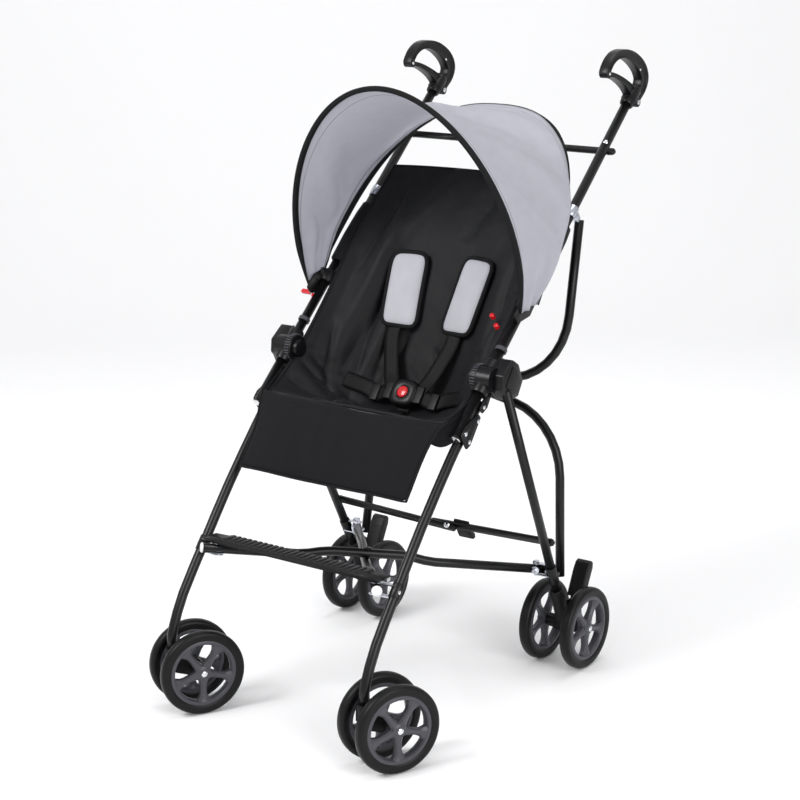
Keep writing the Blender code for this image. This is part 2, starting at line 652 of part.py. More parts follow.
def rear_foot():
    centre = Vector((REAR_AXLE_X, REAR_AXLE_Y, WHEEL_R))
    barrel_half = REAR_PAIR_GAP / 2 + (TYRE_WIDTH - RIM_WIDTH) / 2 - GAP
    profile = [(-barrel_half, 0.0115), (-0.0165, 0.0125), (-0.0150, 0.0150), (0.0150, 0.0150), (0.0165, 0.0125),
               (barrel_half, 0.0115)]
    foot = new_object("rear_foot_right", turned(profile, centre, X_AXIS, 14), centre)
    top = leg_point(FOOT_TOP_Z)
    socket = turned([(0.0, 0.0135), ((top - centre).length - 0.003, 0.0120), ((top - centre).length, 0.0110)],
                    centre, top - centre, 12)
    pin = axle(REAR_PAIR_GAP / 2 + TYRE_WIDTH - (TYRE_WIDTH - RIM_WIDTH) / 2 + GAP)
    pin.location = centre
    join(foot, new_object("socket", socket), pin)
    y, z = PEDAL_PIVOT
    ear_shape = [(y + 0.0060, z + 0.0010), (y + 0.0030, z + 0.0060), (y - 0.0130, z + 0.0080), (y - 0.0330, z + 0.0040),
                 (y - 0.0280, z - 0.0260), (y - 0.0080, z - 0.0220), (y + 0.0045, z - 0.0055)]
    inset = PEDAL_WIDTH / 2 - 0.0075
    for start in (PEDAL_X - inset - GAP - 0.0030, PEDAL_X + inset + GAP):
        ear = prism([(start, a, b) for a, b in ear_shape], (0.0030, 0, 0))
        join(foot, new_object("ear", ear))
    hinge_pin = rod("pin", (PEDAL_X - inset - 0.002, y, z), (PEDAL_X + inset + 0.002, y, z), 0.0020, 10, (0, 0, 1))
    join(foot, hinge_pin)
    leg_bore = rod("leg_bore", leg_point(FOOT_SOCKET_Z - GAP), leg_point(0.2), REAR_LEG_D / 2 + GAP, 12)
    return finish(cut(foot, leg_bore), BLACK_PLASTIC, 0.42)


def brake_pedal():
    """A ridged paddle, narrowed at its hinge so that it turns between the foot's ears."""
    y, z = PEDAL_PIVOT
    half = PEDAL_WIDTH / 2
    shape = [(p[0], p[1]) for p in rounded(PEDAL_OUTLINE, 0.0018, 2)]
    pedal = new_object("brake_pedal_right", prism([(PEDAL_X - half, a, b) for a, b in shape], (PEDAL_WIDTH, 0, 0)),
                       (PEDAL_X, y, z))
    for number in range(3):
        at = 0.140 + 0.010 * number
        lean = 0.6290 - (0.1600 - at) * 0.52
        ridge = prism([(PEDAL_X - half + 0.003, lean - 0.002, at - 0.0015), (PEDAL_X - half + 0.003, lean + 0.0015, at),
                       (PEDAL_X - half + 0.003, lean - 0.002, at + 0.0015)], (PEDAL_WIDTH - 0.006, 0, 0))
        join(pedal, new_object("ridge", ridge))
    for sign in (-1.0, 1.0):
        start = PEDAL_X + sign * (half - 0.0075)
        slot = prism([(start, y - 0.030, z - 0.030), (start, y + 0.0125, z - 0.030), (start, y + 0.0125, z + 0.0125),
                      (start, y - 0.030, z + 0.0125)], (sign * 0.02, 0, 0))
        cut(pedal, new_object("slot", slot))
    cut(pedal, rod("bore", (PEDAL_X - 0.03, y, z), (PEDAL_X + 0.03, y, z), 0.0020 + GAP + 0.0002, 12, (0, 0, 1)))
    return finish(pedal, BLACK_PLASTIC, 0.40)


# Crossed back tubes: upright ends and a nearly level middle, lapped where they cross
BACK_MIDDLE_SLOPE = 0.220
BACK_LOW_LEAN = 0.0743
BACK_HIGH_LEAN = 0.0520
BACK_LAP = BACK_D / 2 + GAP
BACK_NORMAL = Vector((0.0, BACK_HIGH[2] - BACK_LOW[2], BACK_LOW[1] - BACK_HIGH[1])).normalized()


def ease(value):
    value = min(max(value, 0.0), 1.0)
    return value * value * (3.0 - 2.0 * value)


def back_point(x, z):
    t = (z - BACK_LOW[2]) / (BACK_HIGH[2] - BACK_LOW[2])
    return Vector((x, BACK_LOW[1] + t * (BACK_HIGH[1] - BACK_LOW[1]), z))


def back_tube(side):
    """Runs from the lower bracket of its side to the upper bracket of the other."""
    sign = 1.0 if side == "left" else -1.0
    low_x = -BACK_LOW[0]
    low_z = BACK_LOW[2]
    corner_low_x = (low_x + BACK_LOW_LEAN * (BACK_CROSS_Z - low_z)) / (1.0 - BACK_LOW_LEAN * BACK_MIDDLE_SLOPE)
    corner_high_x = (BACK_HIGH[0] - BACK_HIGH_LEAN * (BACK_HIGH[2] - BACK_CROSS_Z)) \
        / (1.0 - BACK_HIGH_LEAN * BACK_MIDDLE_SLOPE)
    corners = [(low_x, low_z - 0.006), (corner_low_x, BACK_CROSS_Z + BACK_MIDDLE_SLOPE * corner_low_x),
               (0.0, BACK_CROSS_Z),
               (corner_high_x, BACK_CROSS_Z + BACK_MIDDLE_SLOPE * corner_high_x), (BACK_HIGH[0], BACK_HIGH[2])]
    first = bent_path([(x, 0.0, z) for x, z in corners[:2] + corners[3:]], BACK_BEND_R, 7)
    path = []
    for k, point in enumerate(first):
        path.append(point)
        after = first[k + 1] if k + 1 < len(first) else None
        if after and point.x < 0.0 < after.x:
            for share in (0.15, 0.35, 0.5, 0.65, 0.85):
                path.append(point.lerp(after, share))
    placed = []
    for point in path:
        lift = BACK_LAP * (1.0 - ease((abs(point.x) - 0.045) / 0.075))
        placed.append(back_point(sign * point.x, point.z) + BACK_NORMAL * lift * sign)
    name = f"back_tube_{side}"
    tube = new_object(name, sweep(placed, BACK_D / 2, TUBE_SIDES, BACK_NORMAL), (-sign * BACK_LOW[0], *BACK_LOW[1:]))
    return finish(tube, BLACK_PAINT, 0.28)


# Crossed base tubes, riveted in the middle
def base_point(x, y, lift=0.0):
    return Vector((x, y, BASE_FRONT[2] - (y - BASE_FRONT[1]) * BASE_SLOPE)) + BASE_NORMAL * lift


BASE_CROSS_Y = BASE_FRONT[1] + (BASE_REAR[1] - BASE_FRONT[1]) * BASE_FRONT[0] / (BASE_FRONT[0] + BASE_REAR[0])
BASE_RIVET_R = 0.0040
BASE_REAR_PLUG = 0.0120


def base_tube(side):
    """Named for the side of its front end; the left one lies on top at the rivet."""
    sign = -1.0 if side == "left" else 1.0
    lap = (BASE_D / 2 + GAP) * (1.0 if side == "left" else -1.0)
    front = base_point(sign * BASE_FRONT[0], BASE_FRONT[1])
    rear = base_point(-sign * BASE_REAR[0], BASE_REAR[1])
    centre = base_point(0.0, BASE_CROSS_Y)
    way = (rear - front).normalized()
    stations = [-(front - centre).length - BASE_PLUG, -0.120, -0.100, -0.080, -0.060, 0.060, 0.080, 0.100, 0.120,
                (rear - centre).length + BASE_REAR_PLUG]
    path = []
    for station in stations:
        lift = lap * (1.0 - ease((abs(station) - 0.060) / 0.060))
        path.append(centre + way * station + BASE_NORMAL * lift)
    tube = new_object(f"base_tube_{side}", sweep(path, BASE_D / 2, TUBE_SIDES, BASE_NORMAL), centre)
    reach = BASE_D + GAP
    if side == "left":
        profile = [(-reach - GAP - 0.0030, 0.0050), (-reach - GAP - 0.0018, 0.0070), (-reach - GAP, 0.0070),
                   (-reach - GAP, BASE_RIVET_R), (reach - 0.001, BASE_RIVET_R), (reach - 0.001, 0.0070),
                   (reach + 0.0012, 0.0070), (reach + 0.0024, 0.0050)]
        join(tube, new_object("rivet", turned(profile, centre, BASE_NORMAL, 10)))
    else:
        cut(tube, rod("bore", centre - BASE_NORMAL * 0.04, centre + BASE_NORMAL * 0.04, BASE_RIVET_R + RUN, 10))
    return finish(tube, BLACK_PAINT, 0.28)


# Two-part bars across the frame, each half pivoted on its own side
def bar_outline(inner, outer, half_height):
    """A strip with round ends in (sideways, upward) coordinates."""
    points = []
    for centre, start in ((inner, -math.pi / 2), (outer, math.pi / 2)):
        for k in range(6):
            turn = start + math.pi * k / 5
            points.append((centre + half_height * math.cos(turn), half_height * math.sin(turn)))
    return points


def cross_bar(name, side, pivot, up, back, planes, height, thickness, outer, sag, colour_radius):
    """A flat bar half whose pivot is on the side frame; back points away from the tube."""
    sign = 1.0 if side == "right" else -1.0
    near = planes[side]
    pivot = Vector((sign * pivot.x, pivot.y, pivot.z))
    tilt = math.atan2(sag, abs(pivot.x))
    inward = Vector((-sign, 0.0, 0.0)) * math.cos(tilt) - up * math.sin(tilt)
    rise = up * math.cos(tilt) + Vector((-sign, 0.0, 0.0)) * math.sin(tilt)
    shape = bar_outline(abs(pivot.x) + LAP - height / 2, -outer + height / 2, height / 2)
    outline = [pivot + inward * a + rise * b + back * near for a, b in shape]
    bar = new_object(name, prism(outline, back * thickness), pivot)
    spacer = turned([(planes["seat"], 0.0050), (near + thickness + 0.001, 0.0050),
                     (near + thickness + 0.001, colour_radius), (near + thickness + 0.0025, colour_radius),
                     (near + thickness + 0.0035, colour_radius * 0.7)], pivot, back, 10)
    return join(bar, new_object("spacer", spacer))


def upper_bar(side):
    seat = HANDLE_D / 2 + GAP
    planes = {"seat": seat, "left": seat, "right": seat + UPPER_BAR_T + 2 * GAP}
    bar = cross_bar(f"upper_bar_{side}", side, on_handle(UPPER_BAR_U), ALONG, -ACROSS, planes, UPPER_BAR_H,
                    UPPER_BAR_T, 0.0135, 0.0, 0.0050)
    return finish(bar, BLACK_PAINT, 0.30)


LOCK_BACK = Vector((0.0, -LEG_WAY.z, LEG_WAY.y)).normalized()
LOCK_UP = X_AXIS.cross(LOCK_BACK)


def lock_bar(side):
    seat = REAR_LEG_D / 2 + GAP
    planes = {"seat": seat, "left": seat, "right": seat + LOCK_BAR_T + 2 * GAP}
    bar = cross_bar(f"lock_bar_{side}", side, leg_point(LOCK_BAR_Z), LOCK_UP, LOCK_BACK, planes, LOCK_BAR_H,
                    LOCK_BAR_T, 0.0080, LOCK_BAR_SAG, 0.0048)
    return finish(bar, BLACK_PAINT, 0.30)


LATCH_X = 0.0370                    # middle of the latch, on the right-hand half
LATCH_WIDTH = 0.0300
LATCH_DROP = 0.0380
LATCH_T = 0.0050


def latch_pivot():
    """The latch turns at the top of the right lock bar's rear face."""
    pivot = leg_point(LOCK_BAR_Z)
    drop = LOCK_BAR_SAG * (pivot.x - LATCH_X) / pivot.x
    face = REAR_LEG_D / 2 + GAP + LOCK_BAR_T + 2 * GAP + LOCK_BAR_T + GAP
    middle = Vector((LATCH_X, pivot.y, pivot.z)) - LOCK_UP * drop
    return middle + LOCK_BACK * (face + LATCH_T / 2) + LOCK_UP * (LOCK_BAR_H / 2)


def lock_latch():
    pivot = latch_pivot()
    half = LATCH_T / 2
    shape = [(half * math.cos(math.pi * k / 5), half * math.sin(math.pi * k / 5)) for k in range(6)]
    shape += [(-half, -LATCH_DROP * 0.75), (-half + 0.0015, -LATCH_DROP), (half + 0.004, -LATCH_DROP - 0.002),
              (half + 0.006, -LATCH_DROP + 0.006), (half + 0.001, -LATCH_DROP * 0.6)]
    outline = [pivot + LOCK_BACK * a + LOCK_UP * b - X_AXIS * (LATCH_WIDTH / 2) for a, b in shape]
    latch = new_object("lock_latch", prism(outline, X_AXIS * LATCH_WIDTH), pivot)
    return finish(latch, BLACK_PLASTIC, 0.40)


def footrest():
    """A moulded bar whose cross ribs are a row of teeth along its top."""
    half = BASE_FRONT[0] + 0.0170
    low = BASE_FRONT[2] + (PLATE_LIFT + CLEVIS_T + GAP) / BASE_NORMAL.z + FOOTREST_DEPTH / 2 * BASE_SLOPE
    pitch = 2 * (half - 0.034) / FOOTREST_RIBS
    top = low + FOOTREST_T
    outline = [(-half, low + 0.003), (-half + 0.004, low), (half - 0.004, low), (half, low + 0.003),
               (half, top - 0.004), (half - 0.030, top - 0.003)]
    for k in range(FOOTREST_RIBS):
        x = half - 0.034 - pitch * k
        outline += [(x, top), (x - 0.55 * pitch, top), (x - 0.60 * pitch, top - 0.0014), (x - 0.95 * pitch, top - 0.0014)]
    outline += [(-half + 0.030, top - 0.003), (-half, top - 0.004)]
    front = BASE_FRONT[1] - FOOTREST_DEPTH / 2
    bar = new_object("footrest", prism([(x, front, z) for x, z in outline], (0, FOOTREST_DEPTH, 0)),
                     (0.0, BASE_FRONT[1], low))
    return finish(bar, BLACK_PLASTIC, 0.50)


# Canopy: one curved cover stretched between two bows, tapering to both clips
CANOPY_STATIONS = 26
FRONT_SHAPE = -0.176
REAR_SHAPE = -0.246


def bow_point(turn, top, foot, flare, shape):
    side = math.cos(turn) * (CANOPY_HALF_WIDTH + flare * math.sin(turn))
    rise = math.sin(turn) * (1.0 + shape * math.cos(turn) ** 2)
    return Vector((side, foot[0] + rise * (top[0] - foot[0]), foot[1] + rise * (top[1] - foot[1])))


def canopy():
    front = []
    rear = []
    for k in range(CANOPY_STATIONS + 1):
        turn = math.pi * k / CANOPY_STATIONS
        front.append(bow_point(turn, CANOPY_FRONT_TOP, CANOPY_FRONT_FOOT, CANOPY_FRONT_FLARE, FRONT_SHAPE))
        rear.append(bow_point(turn, CANOPY_REAR_TOP, CANOPY_REAR_FOOT, CANOPY_REAR_FLARE, REAR_SHAPE))
    rings = []
    for k in range(CANOPY_STATIONS + 1):
        low = max(k - 1, 0)
        high = min(k + 1, CANOPY_STATIONS)
        way = (front[high] + rear[high] - front[low] - rear[low]).normalized()
        across = (rear[k] - front[k]).normalized()
        normal = across.cross(way).normalized()
        ring = []
        for centre, start in ((front[k], 0.5), (rear[k], -0.5)):
            for n in range(4):
                turn = math.pi * (start + n / 3)
                ring.append(centre + BOW_D / 2 * (across * math.cos(turn) + normal * math.sin(turn)))
            sign = -1.0 if start > 0 else 1.0
            for share in (0.12, 0.50, 0.88):
                share = share if start > 0 else 1.0 - share
                ring.append(front[k].lerp(rear[k], share) + normal * sign * CANOPY_T / 2)
        rings.append(ring)
    pivot = (0.0, (CANOPY_FRONT_FOOT[0] + CANOPY_REAR_FOOT[0]) / 2, (CANOPY_FRONT_FOOT[1] + CANOPY_REAR_FOOT[1]) / 2)
    return finish(new_object("canopy", loft(rings), pivot), CANOPY_GREY, 0.8)


# Seat sling: rows from the top of the back down to the front edge.
# Each row gives its middle (y, z) and its right edge (x, y, z).
SEAT_ROWS = [((0.618, 0.846), (0.172, 0.612, 0.843)), ((0.582, 0.792), (0.180, 0.563, 0.787)),
             ((0.545, 0.735), (0.186, 0.508, 0.725)), ((0.502, 0.640), (0.186, 0.438, 0.640)),
             ((0.468, 0.555), (0.170, 0.380, 0.578)), ((0.436, 0.487), (0.168, 0.330, 0.536)),
             ((0.388, 0.458), (0.170, 0.293, 0.512)), ((0.325, 0.470), (0.172, 0.270, 0.503)),
             ((0.264, 0.503), (0.172, 0.260, 0.500))]
SEAT_FULLNESS = 2.6
SEAT_COLUMNS = 8


def blend_rows(position):
    last = len(SEAT_ROWS) - 1
    index = int(min(max(math.floor(position), 0), last - 1))
    t = position - index
    picked = [SEAT_ROWS[min(max(index + shift, 0), last)] for shift in (-1, 0, 1, 2)]
    rows = [list(row[0]) + list(row[1]) for row in picked]
    values = []
    for a, b, c, d in zip(*rows):
        values.append(0.5 * (2 * b + (c - a) * t + (2 * a - 5 * b + 4 * c - d) * t * t
                             + (3 * b - a - 3 * c + d) * t ** 3))
    return values


def seat_surface(share, position):
    """A point of the sling's middle surface; share runs from -1 at the left edge to 1."""
    mid_y, mid_z, edge_x, edge_y, edge_z = blend_rows(position)
    weight = 1.0 - abs(share) ** SEAT_FULLNESS
    return Vector((share * edge_x, edge_y + (mid_y - edge_y) * weight, edge_z + (mid_z - edge_z) * weight))


def seat_normal(share, position):
    """Points to the sitter's side."""
    step = 0.02
    share = min(max(share, -1 + step), 1 - step)
    last = len(SEAT_ROWS) - 1
    low = max(position - step, 0.0)
    high = min(position + step, last)
    along = seat_surface(share, high) - seat_surface(share, low)
    sideways = seat_surface(share + step, position) - seat_surface(share - step, position)
    return along.cross(sideways).normalized()


def seat_at(share, position, lift=0.0):
    return seat_surface(share, position) + seat_normal(share, position) * lift


def sheet_solid(grid_low, grid_high):
    """A closed slab between two equal grids of points."""
    rings = []
    for low, high in zip(grid_low, grid_high):
        rings.append(list(low) + list(reversed(high)))
    return loft(rings)


def seat():
    positions = [k / 2 for k in range(2 * (len(SEAT_ROWS) - 1) + 1)]
    shares = [-1 + 2 * k / SEAT_COLUMNS for k in range(SEAT_COLUMNS + 1)]
    low = [[seat_at(a, v, -SEAT_T / 2) for a in shares] for v in positions]
    high = [[seat_at(a, v, SEAT_T / 2) for a in shares] for v in positions]
    return finish(new_object("seat", sheet_solid(low, high), (0.0, 0.45, 0.50)), SEAT_BLACK, 0.85)


PANEL_LINE = [(0.2530, 0.5010), (0.2440, 0.4945), (0.2300, 0.4760), (0.2130, 0.4520), (0.1950, 0.4270), (0.1760, 0.4020)]


def leg_panel():
    """The padded front flap that hangs from the seat's front edge."""
    line = smooth_path([(0.0, y, z) for y, z in PANEL_LINE], 2)
    low = []
    high = []
    shares = [-1 + 2 * k / 8 for k in range(9)]
    for k, point in enumerate(line):
        way = (line[min(k + 1, len(line) - 1)] - line[max(k - 1, 0)]).normalized()
        normal = X_AXIS.cross(way).normalized()
        swell = 0.35 + 0.65 * math.sin(math.pi * (k + 0.6) / (len(line) + 0.2))
        low_row = []
        high_row = []
        for share in shares:
            puff = PANEL_T / 2 * swell * (0.3 + 0.7 * (1 - abs(share) ** 4))
            place = point + X_AXIS * share * SEAT_ROWS[-1][1][0]
            low_row.append(place - normal * puff)
            high_row.append(place + normal * puff)
        low.append(low_row)
        high.append(high_row)
    return finish(new_object("leg_panel", sheet_solid(low, high), (0.0, *PANEL_LINE[0])), SEAT_BLACK, 0.85)


PAD_T = 0.0120
PAD_REST = 0.0019                   # over the sling, whose facets stand a little proud
PAD_TOP = (2.0, 0.041, 0.105)       # row position, inner x, outer x
PAD_FOOT = (3.42, 0.028, 0.095)


def shoulder_pad():
    low = []
    high = []
    for k in range(9):
        t = k / 8
        position = PAD_TOP[0] + (PAD_FOOT[0] - PAD_TOP[0]) * t
        inner = PAD_TOP[1] + (PAD_FOOT[1] - PAD_TOP[1]) * t
        outer = PAD_TOP[2] + (PAD_FOOT[2] - PAD_TOP[2]) * t
        edge = blend_rows(position)[2]
        low_row = []
        high_row = []
        for n in range(7):
            share = (inner + (outer - inner) * n / 6) / edge
            crown = PAD_T * (0.45 + 0.55 * math.sin(math.pi * (n + 0.5) / 7)) * (0.5 + 0.5 * math.sin(math.pi * (k + 0.7) / 9.4))
            low_row.append(seat_at(share, position, SEAT_T / 2 + PAD_REST))
            high_row.append(seat_at(share, position, SEAT_T / 2 + PAD_REST + crown))
        low.append(low_row)
        high.append(high_row)
    return finish(new_object("shoulder_pad_right", sheet_solid(low, high)), CANOPY_GREY, 0.8)


# Harness: straps run to a tongue behind the buckle
BUCKLE_AT = Vector((0.0, 0.4000, 0.4950))
BUCKLE_FACE = Vector((0.0, -0.80, 0.60)).normalized()
BUCKLE_UP = BUCKLE_FACE.cross(X_AXIS)
BUCKLE_SIZE = (0.0440, 0.0400, 0.0140)
BUTTON_R = 0.0105
STRAP_WIDTH = 0.0250
STRAP_T = 0.0020
STRAP_SET = 0.0050                  # straps behind the buckle's back


def strap(name, start, end, start_side, end_side):
    """A flat strap between two points; the sides give its width direction at each end."""
    way = (Vector(end) - Vector(start)).normalized()
    rings = []
    for point, side in ((start, start_side), (end, end_side)):
        side = (side - way * side.dot(way)).normalized()
        normal = way.cross(side)
        ring = []
        for a, b in ((-1, -1), (1, -1), (1, 1), (-1, 1)):
            ring.append(Vector(point) + side * (a * STRAP_WIDTH / 2) + normal * (b * STRAP_T / 2))
        rings.append(ring)
    return new_object(name, loft(rings))


def webbing():
    back = BUCKLE_AT - BUCKLE_FACE * (BUCKLE_SIZE[2] / 2 + GAP + STRAP_SET)
    corner = []
    for a, b in ((-1, -1), (1, -1), (1, 1), (-1, 1)):
        corner.append(back + X_AXIS * (a * 0.018) + BUCKLE_UP * (b * 0.015) - BUCKLE_FACE * 0.0010)
    tongue = new_object("harness_webbing", prism(corner, BUCKLE_FACE * (STRAP_SET + 0.0010)), BUCKLE_AT)
    for sign in (-1.0, 1.0):
        edge = blend_rows(PAD_FOOT[0])[2]
        top = seat_at(sign * 0.0615 / edge, PAD_FOOT[0] + 0.06, SEAT_T / 2 + 0.0070)
        join(tongue, strap("shoulder", top, back + X_AXIS * sign * 0.0071 + BUCKLE_UP * 0.0063, X_AXIS, X_AXIS))
        side = seat_at(sign * 0.48, 4.9, SEAT_T / 2 + 0.0050)
        join(tongue, strap("waist", side, back + X_AXIS * sign * 0.004, BUCKLE_UP, BUCKLE_UP))
    foot = seat_at(0.0, 6.1, SEAT_T / 2 + 0.0032)
    join(tongue, strap("crotch", foot, back - BUCKLE_UP * 0.0047 - BUCKLE_FACE * 0.0004, X_AXIS, X_AXIS))
    return finish(tongue, SEAT_BLACK, 0.8)


def buckle():
    width, height, depth = BUCKLE_SIZE
    corners = rounded([(-width / 2, -height * 0.40), (-width * 0.36, -height / 2), (width * 0.36, -height / 2),
                       (width / 2, -height * 0.40), (width / 2, height * 0.36), (width * 0.38, height / 2),
                       (-width * 0.38, height / 2), (-width / 2, height * 0.36)], 0.003, 2)
    back = BUCKLE_AT - BUCKLE_FACE * depth / 2
    body = new_object("buckle", prism([back + X_AXIS * a + BUCKLE_UP * b for a, b in corners], BUCKLE_FACE * depth),
                      BUCKLE_AT)
    pocket = turned([(depth / 2 - 0.0070, BUTTON_R + GAP), (depth, BUTTON_R + GAP)], BUCKLE_AT, BUCKLE_FACE, 20)
    return finish(cut(body, new_object("pocket", pocket)), BLACK_PLASTIC, 0.35)


BUTTON_TRAVEL = 0.0025


def buckle_button():
    top = BUCKLE_SIZE[2] / 2 + 0.0012
    floor = BUCKLE_SIZE[2] / 2 - 0.0070 + GAP + BUTTON_TRAVEL
    profile = [(floor, BUTTON_R), (top - 0.0012, BUTTON_R), (top, BUTTON_R - 0.0020)]
    return finish(new_object("buckle_button", turned(profile, BUCKLE_AT, BUCKLE_FACE, 20), BUCKLE_AT), BUTTON_RED, 0.35)


def both_sides(piece):
    """Keeps the right-hand piece and adds its mirror image for the left."""
    twin = mirrored(piece, piece.name.replace("right", "left"))
    colour = piece.data.materials[0].node_tree.nodes["Principled BSDF"].inputs
    finish(twin, tuple(colour["Base Color"].default_value)[:3], colour["Roughness"].default_value,
           colour["Metallic"].default_value)


def centre_on_origin():
    """Slides the whole object level, so that its outer box stands centred on the origin."""
    bpy.context.view_layer.update()
    corners = []
    for thing in bpy.data.objects:
        if thing.type == "MESH":
            corners += [thing.matrix_world @ vertex.co for vertex in thing.data.vertices]
    shift = Vector((0.0, 0.0, 0.0))
    for axis in range(2):
        values = [corner[axis] for corner in corners]
        shift[axis] = -(min(values) + max(values)) / 2
    for thing in bpy.data.objects:
        if thing.parent is None:
            thing.location = thing.location + shift
    return shift


def build():
    clear_scene()
    for make in (handle_tube, grip_socket, grip_arch, hub, front_leg, rear_leg, canopy_clip, top_bracket,
                 front_bracket, rear_bracket, rear_foot, brake_pedal, shoulder_pad):
        both_sides(make())
    rim_data = rim_mesh()
    tyre_data = tyre_mesh()
    for side, yaw in (("right", YAW_RIGHT), ("left", YAW_LEFT)):
        pivot = swivel(side, yaw)
        caster_fork(side, pivot)
        wheel_pair(f"front_{side}", pivot, (0.0, FORK_TRAIL, WHEEL_R), FRONT_PAIR_GAP, rim_data, tyre_data)
        sign = 1.0 if side == "right" else -1.0
        wheel_pair(f"rear_{side}", None, (sign * REAR_AXLE_X, REAR_AXLE_Y, WHEEL_R), REAR_PAIR_GAP, rim_data,
                   tyre_data)
        back_tube(side)
        base_tube(side)
        upper_bar(side)
        lock_bar(side)
    for guide in ("rim", "tyre"):
        bpy.data.objects.remove(bpy.data.objects[guide], do_unlink=True)
    for make in (lock_latch, footrest, canopy, seat, leg_panel, webbing, buckle, buckle_button):
        make()
    return centre_on_origin()


build()
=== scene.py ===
"""Looks of the umbrella-fold stroller: materials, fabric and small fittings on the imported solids."""

import json
import math

import bmesh
import bpy
from mathutils import Matrix, Vector, noise

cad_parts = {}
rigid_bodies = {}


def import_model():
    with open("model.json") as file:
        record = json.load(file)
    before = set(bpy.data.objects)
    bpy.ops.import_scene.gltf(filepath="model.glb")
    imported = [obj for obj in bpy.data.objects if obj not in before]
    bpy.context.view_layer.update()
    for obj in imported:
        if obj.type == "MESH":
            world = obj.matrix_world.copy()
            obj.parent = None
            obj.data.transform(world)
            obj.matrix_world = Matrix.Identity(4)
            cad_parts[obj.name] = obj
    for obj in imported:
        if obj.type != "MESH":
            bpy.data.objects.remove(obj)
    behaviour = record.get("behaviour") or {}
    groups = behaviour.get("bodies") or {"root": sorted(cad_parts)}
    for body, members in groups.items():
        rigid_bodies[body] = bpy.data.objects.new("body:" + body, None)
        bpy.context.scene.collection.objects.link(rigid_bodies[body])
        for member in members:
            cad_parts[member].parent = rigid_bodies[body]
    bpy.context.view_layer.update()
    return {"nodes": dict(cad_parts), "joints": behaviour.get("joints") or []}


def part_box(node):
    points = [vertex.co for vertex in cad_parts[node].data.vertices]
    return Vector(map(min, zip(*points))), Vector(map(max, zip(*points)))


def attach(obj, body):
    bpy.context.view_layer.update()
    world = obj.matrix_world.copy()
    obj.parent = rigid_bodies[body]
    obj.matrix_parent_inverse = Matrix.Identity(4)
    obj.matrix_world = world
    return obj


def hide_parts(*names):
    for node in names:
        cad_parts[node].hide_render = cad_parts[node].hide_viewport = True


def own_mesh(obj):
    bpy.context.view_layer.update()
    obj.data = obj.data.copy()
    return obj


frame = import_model()
nodes = frame["nodes"]


# Steel tubes
# Handle tubes, legs, crossed back and base tubes and the folding bars, cut from 16 mm steel tube.
# They are bent and drilled first, and then powder coated in gloss black.
SIDES = (("left", -1.0), ("right", 1.0))


def srgb(code):
    """A hex code as the linear colour that a shader takes."""
    values = [int(code[k:k + 2], 16) / 255.0 for k in (1, 3, 5)]
    values = [v / 12.92 if v <= 0.04045 else ((v + 0.055) / 1.055) ** 2.4 for v in values]
    return (*values, 1.0)


def add(tree, kind, links=(), **settings):
    """A node with its settings and sockets set by name, and inputs linked from (socket, output) pairs."""
    made = tree.nodes.new(kind)
    for key, value in settings.items():
        if hasattr(made, key) and key not in made.inputs:
            setattr(made, key, value)
        else:
            made.inputs[key.replace("_", " ")].default_value = value
    for socket, output in links:
        tree.links.new(output, made.inputs[socket])
    return made


def material(name, colour, roughness, metallic=0.0, coat=0.0, sheen=0.0, gloss=0.5):
    """A new material with its main shader set by constants."""
    made = bpy.data.materials.new(name)
    made.use_nodes = True
    inputs = made.node_tree.nodes["Principled BSDF"].inputs
    inputs["Base Color"].default_value = colour
    inputs["Roughness"].default_value = roughness
    inputs["Metallic"].default_value = metallic
    inputs["Specular IOR Level"].default_value = gloss
    inputs["Coat Weight"].default_value = coat
    inputs["Coat Roughness"].default_value = 0.12
    inputs["Sheen Weight"].default_value = sheen
    inputs["Sheen Roughness"].default_value = 0.4
    return made


def grain(look, size_mm, depth_mm):
    """Fine raised grain of that size and depth."""
    tree = look.node_tree
    place = add(tree, "ShaderNodeTexCoord").outputs["Object"]
    cloud = add(tree, "ShaderNodeTexNoise", [("Vector", place)], Scale=1000.0 / size_mm, Detail=3.0)
    bump = add(tree, "ShaderNodeBump", [("Height", cloud.outputs["Fac"])], Strength=1.0,
               Distance=depth_mm / 1000.0)
    tree.links.new(bump.outputs["Normal"], tree.nodes["Principled BSDF"].inputs["Normal"])


def finish(names, look, edge=0.0):
    """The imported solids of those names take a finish, and soft edges of that width."""
    for name in names:
        node = nodes[name]
        node.data.materials.clear()
        node.data.materials.append(look)
        weld = node.modifiers.new("weld", "WELD")
        weld.merge_threshold = 0.00003
        if edge:
            bevel = node.modifiers.new("soft_edges", "BEVEL")
            bevel.width = edge
            bevel.segments = 2
            bevel.limit_method = "ANGLE"
            bevel.angle_limit = math.radians(38)
        node.data.shade_smooth()
        node.data.set_sharp_from_angle(angle=math.radians(40))


def both(*kinds):
    """The names of the left and the right solid of each kind."""
    return [f"{kind}_{side}" for kind in kinds for side, sign in SIDES]


# Powder coat: a deep black with an even soft gloss and a faint orange peel
powder_coat = material("gloss_black_powder_coated_steel", srgb("#0c0c0d"), 0.33, gloss=0.28)
grain(powder_coat, 2.4, 0.012)
finish(both("handle_tube", "front_leg", "rear_leg"), powder_coat)
finish(both("back_tube", "base_tube", "upper_bar", "lock_bar"), powder_coat)


# Moulded fittings
# Canopy clips, rear feet, caster forks, brake pedals, the lock's latch and the ribbed footrest bar.
# All are injection moulded in black polypropylene and pushed or riveted onto the tubes.

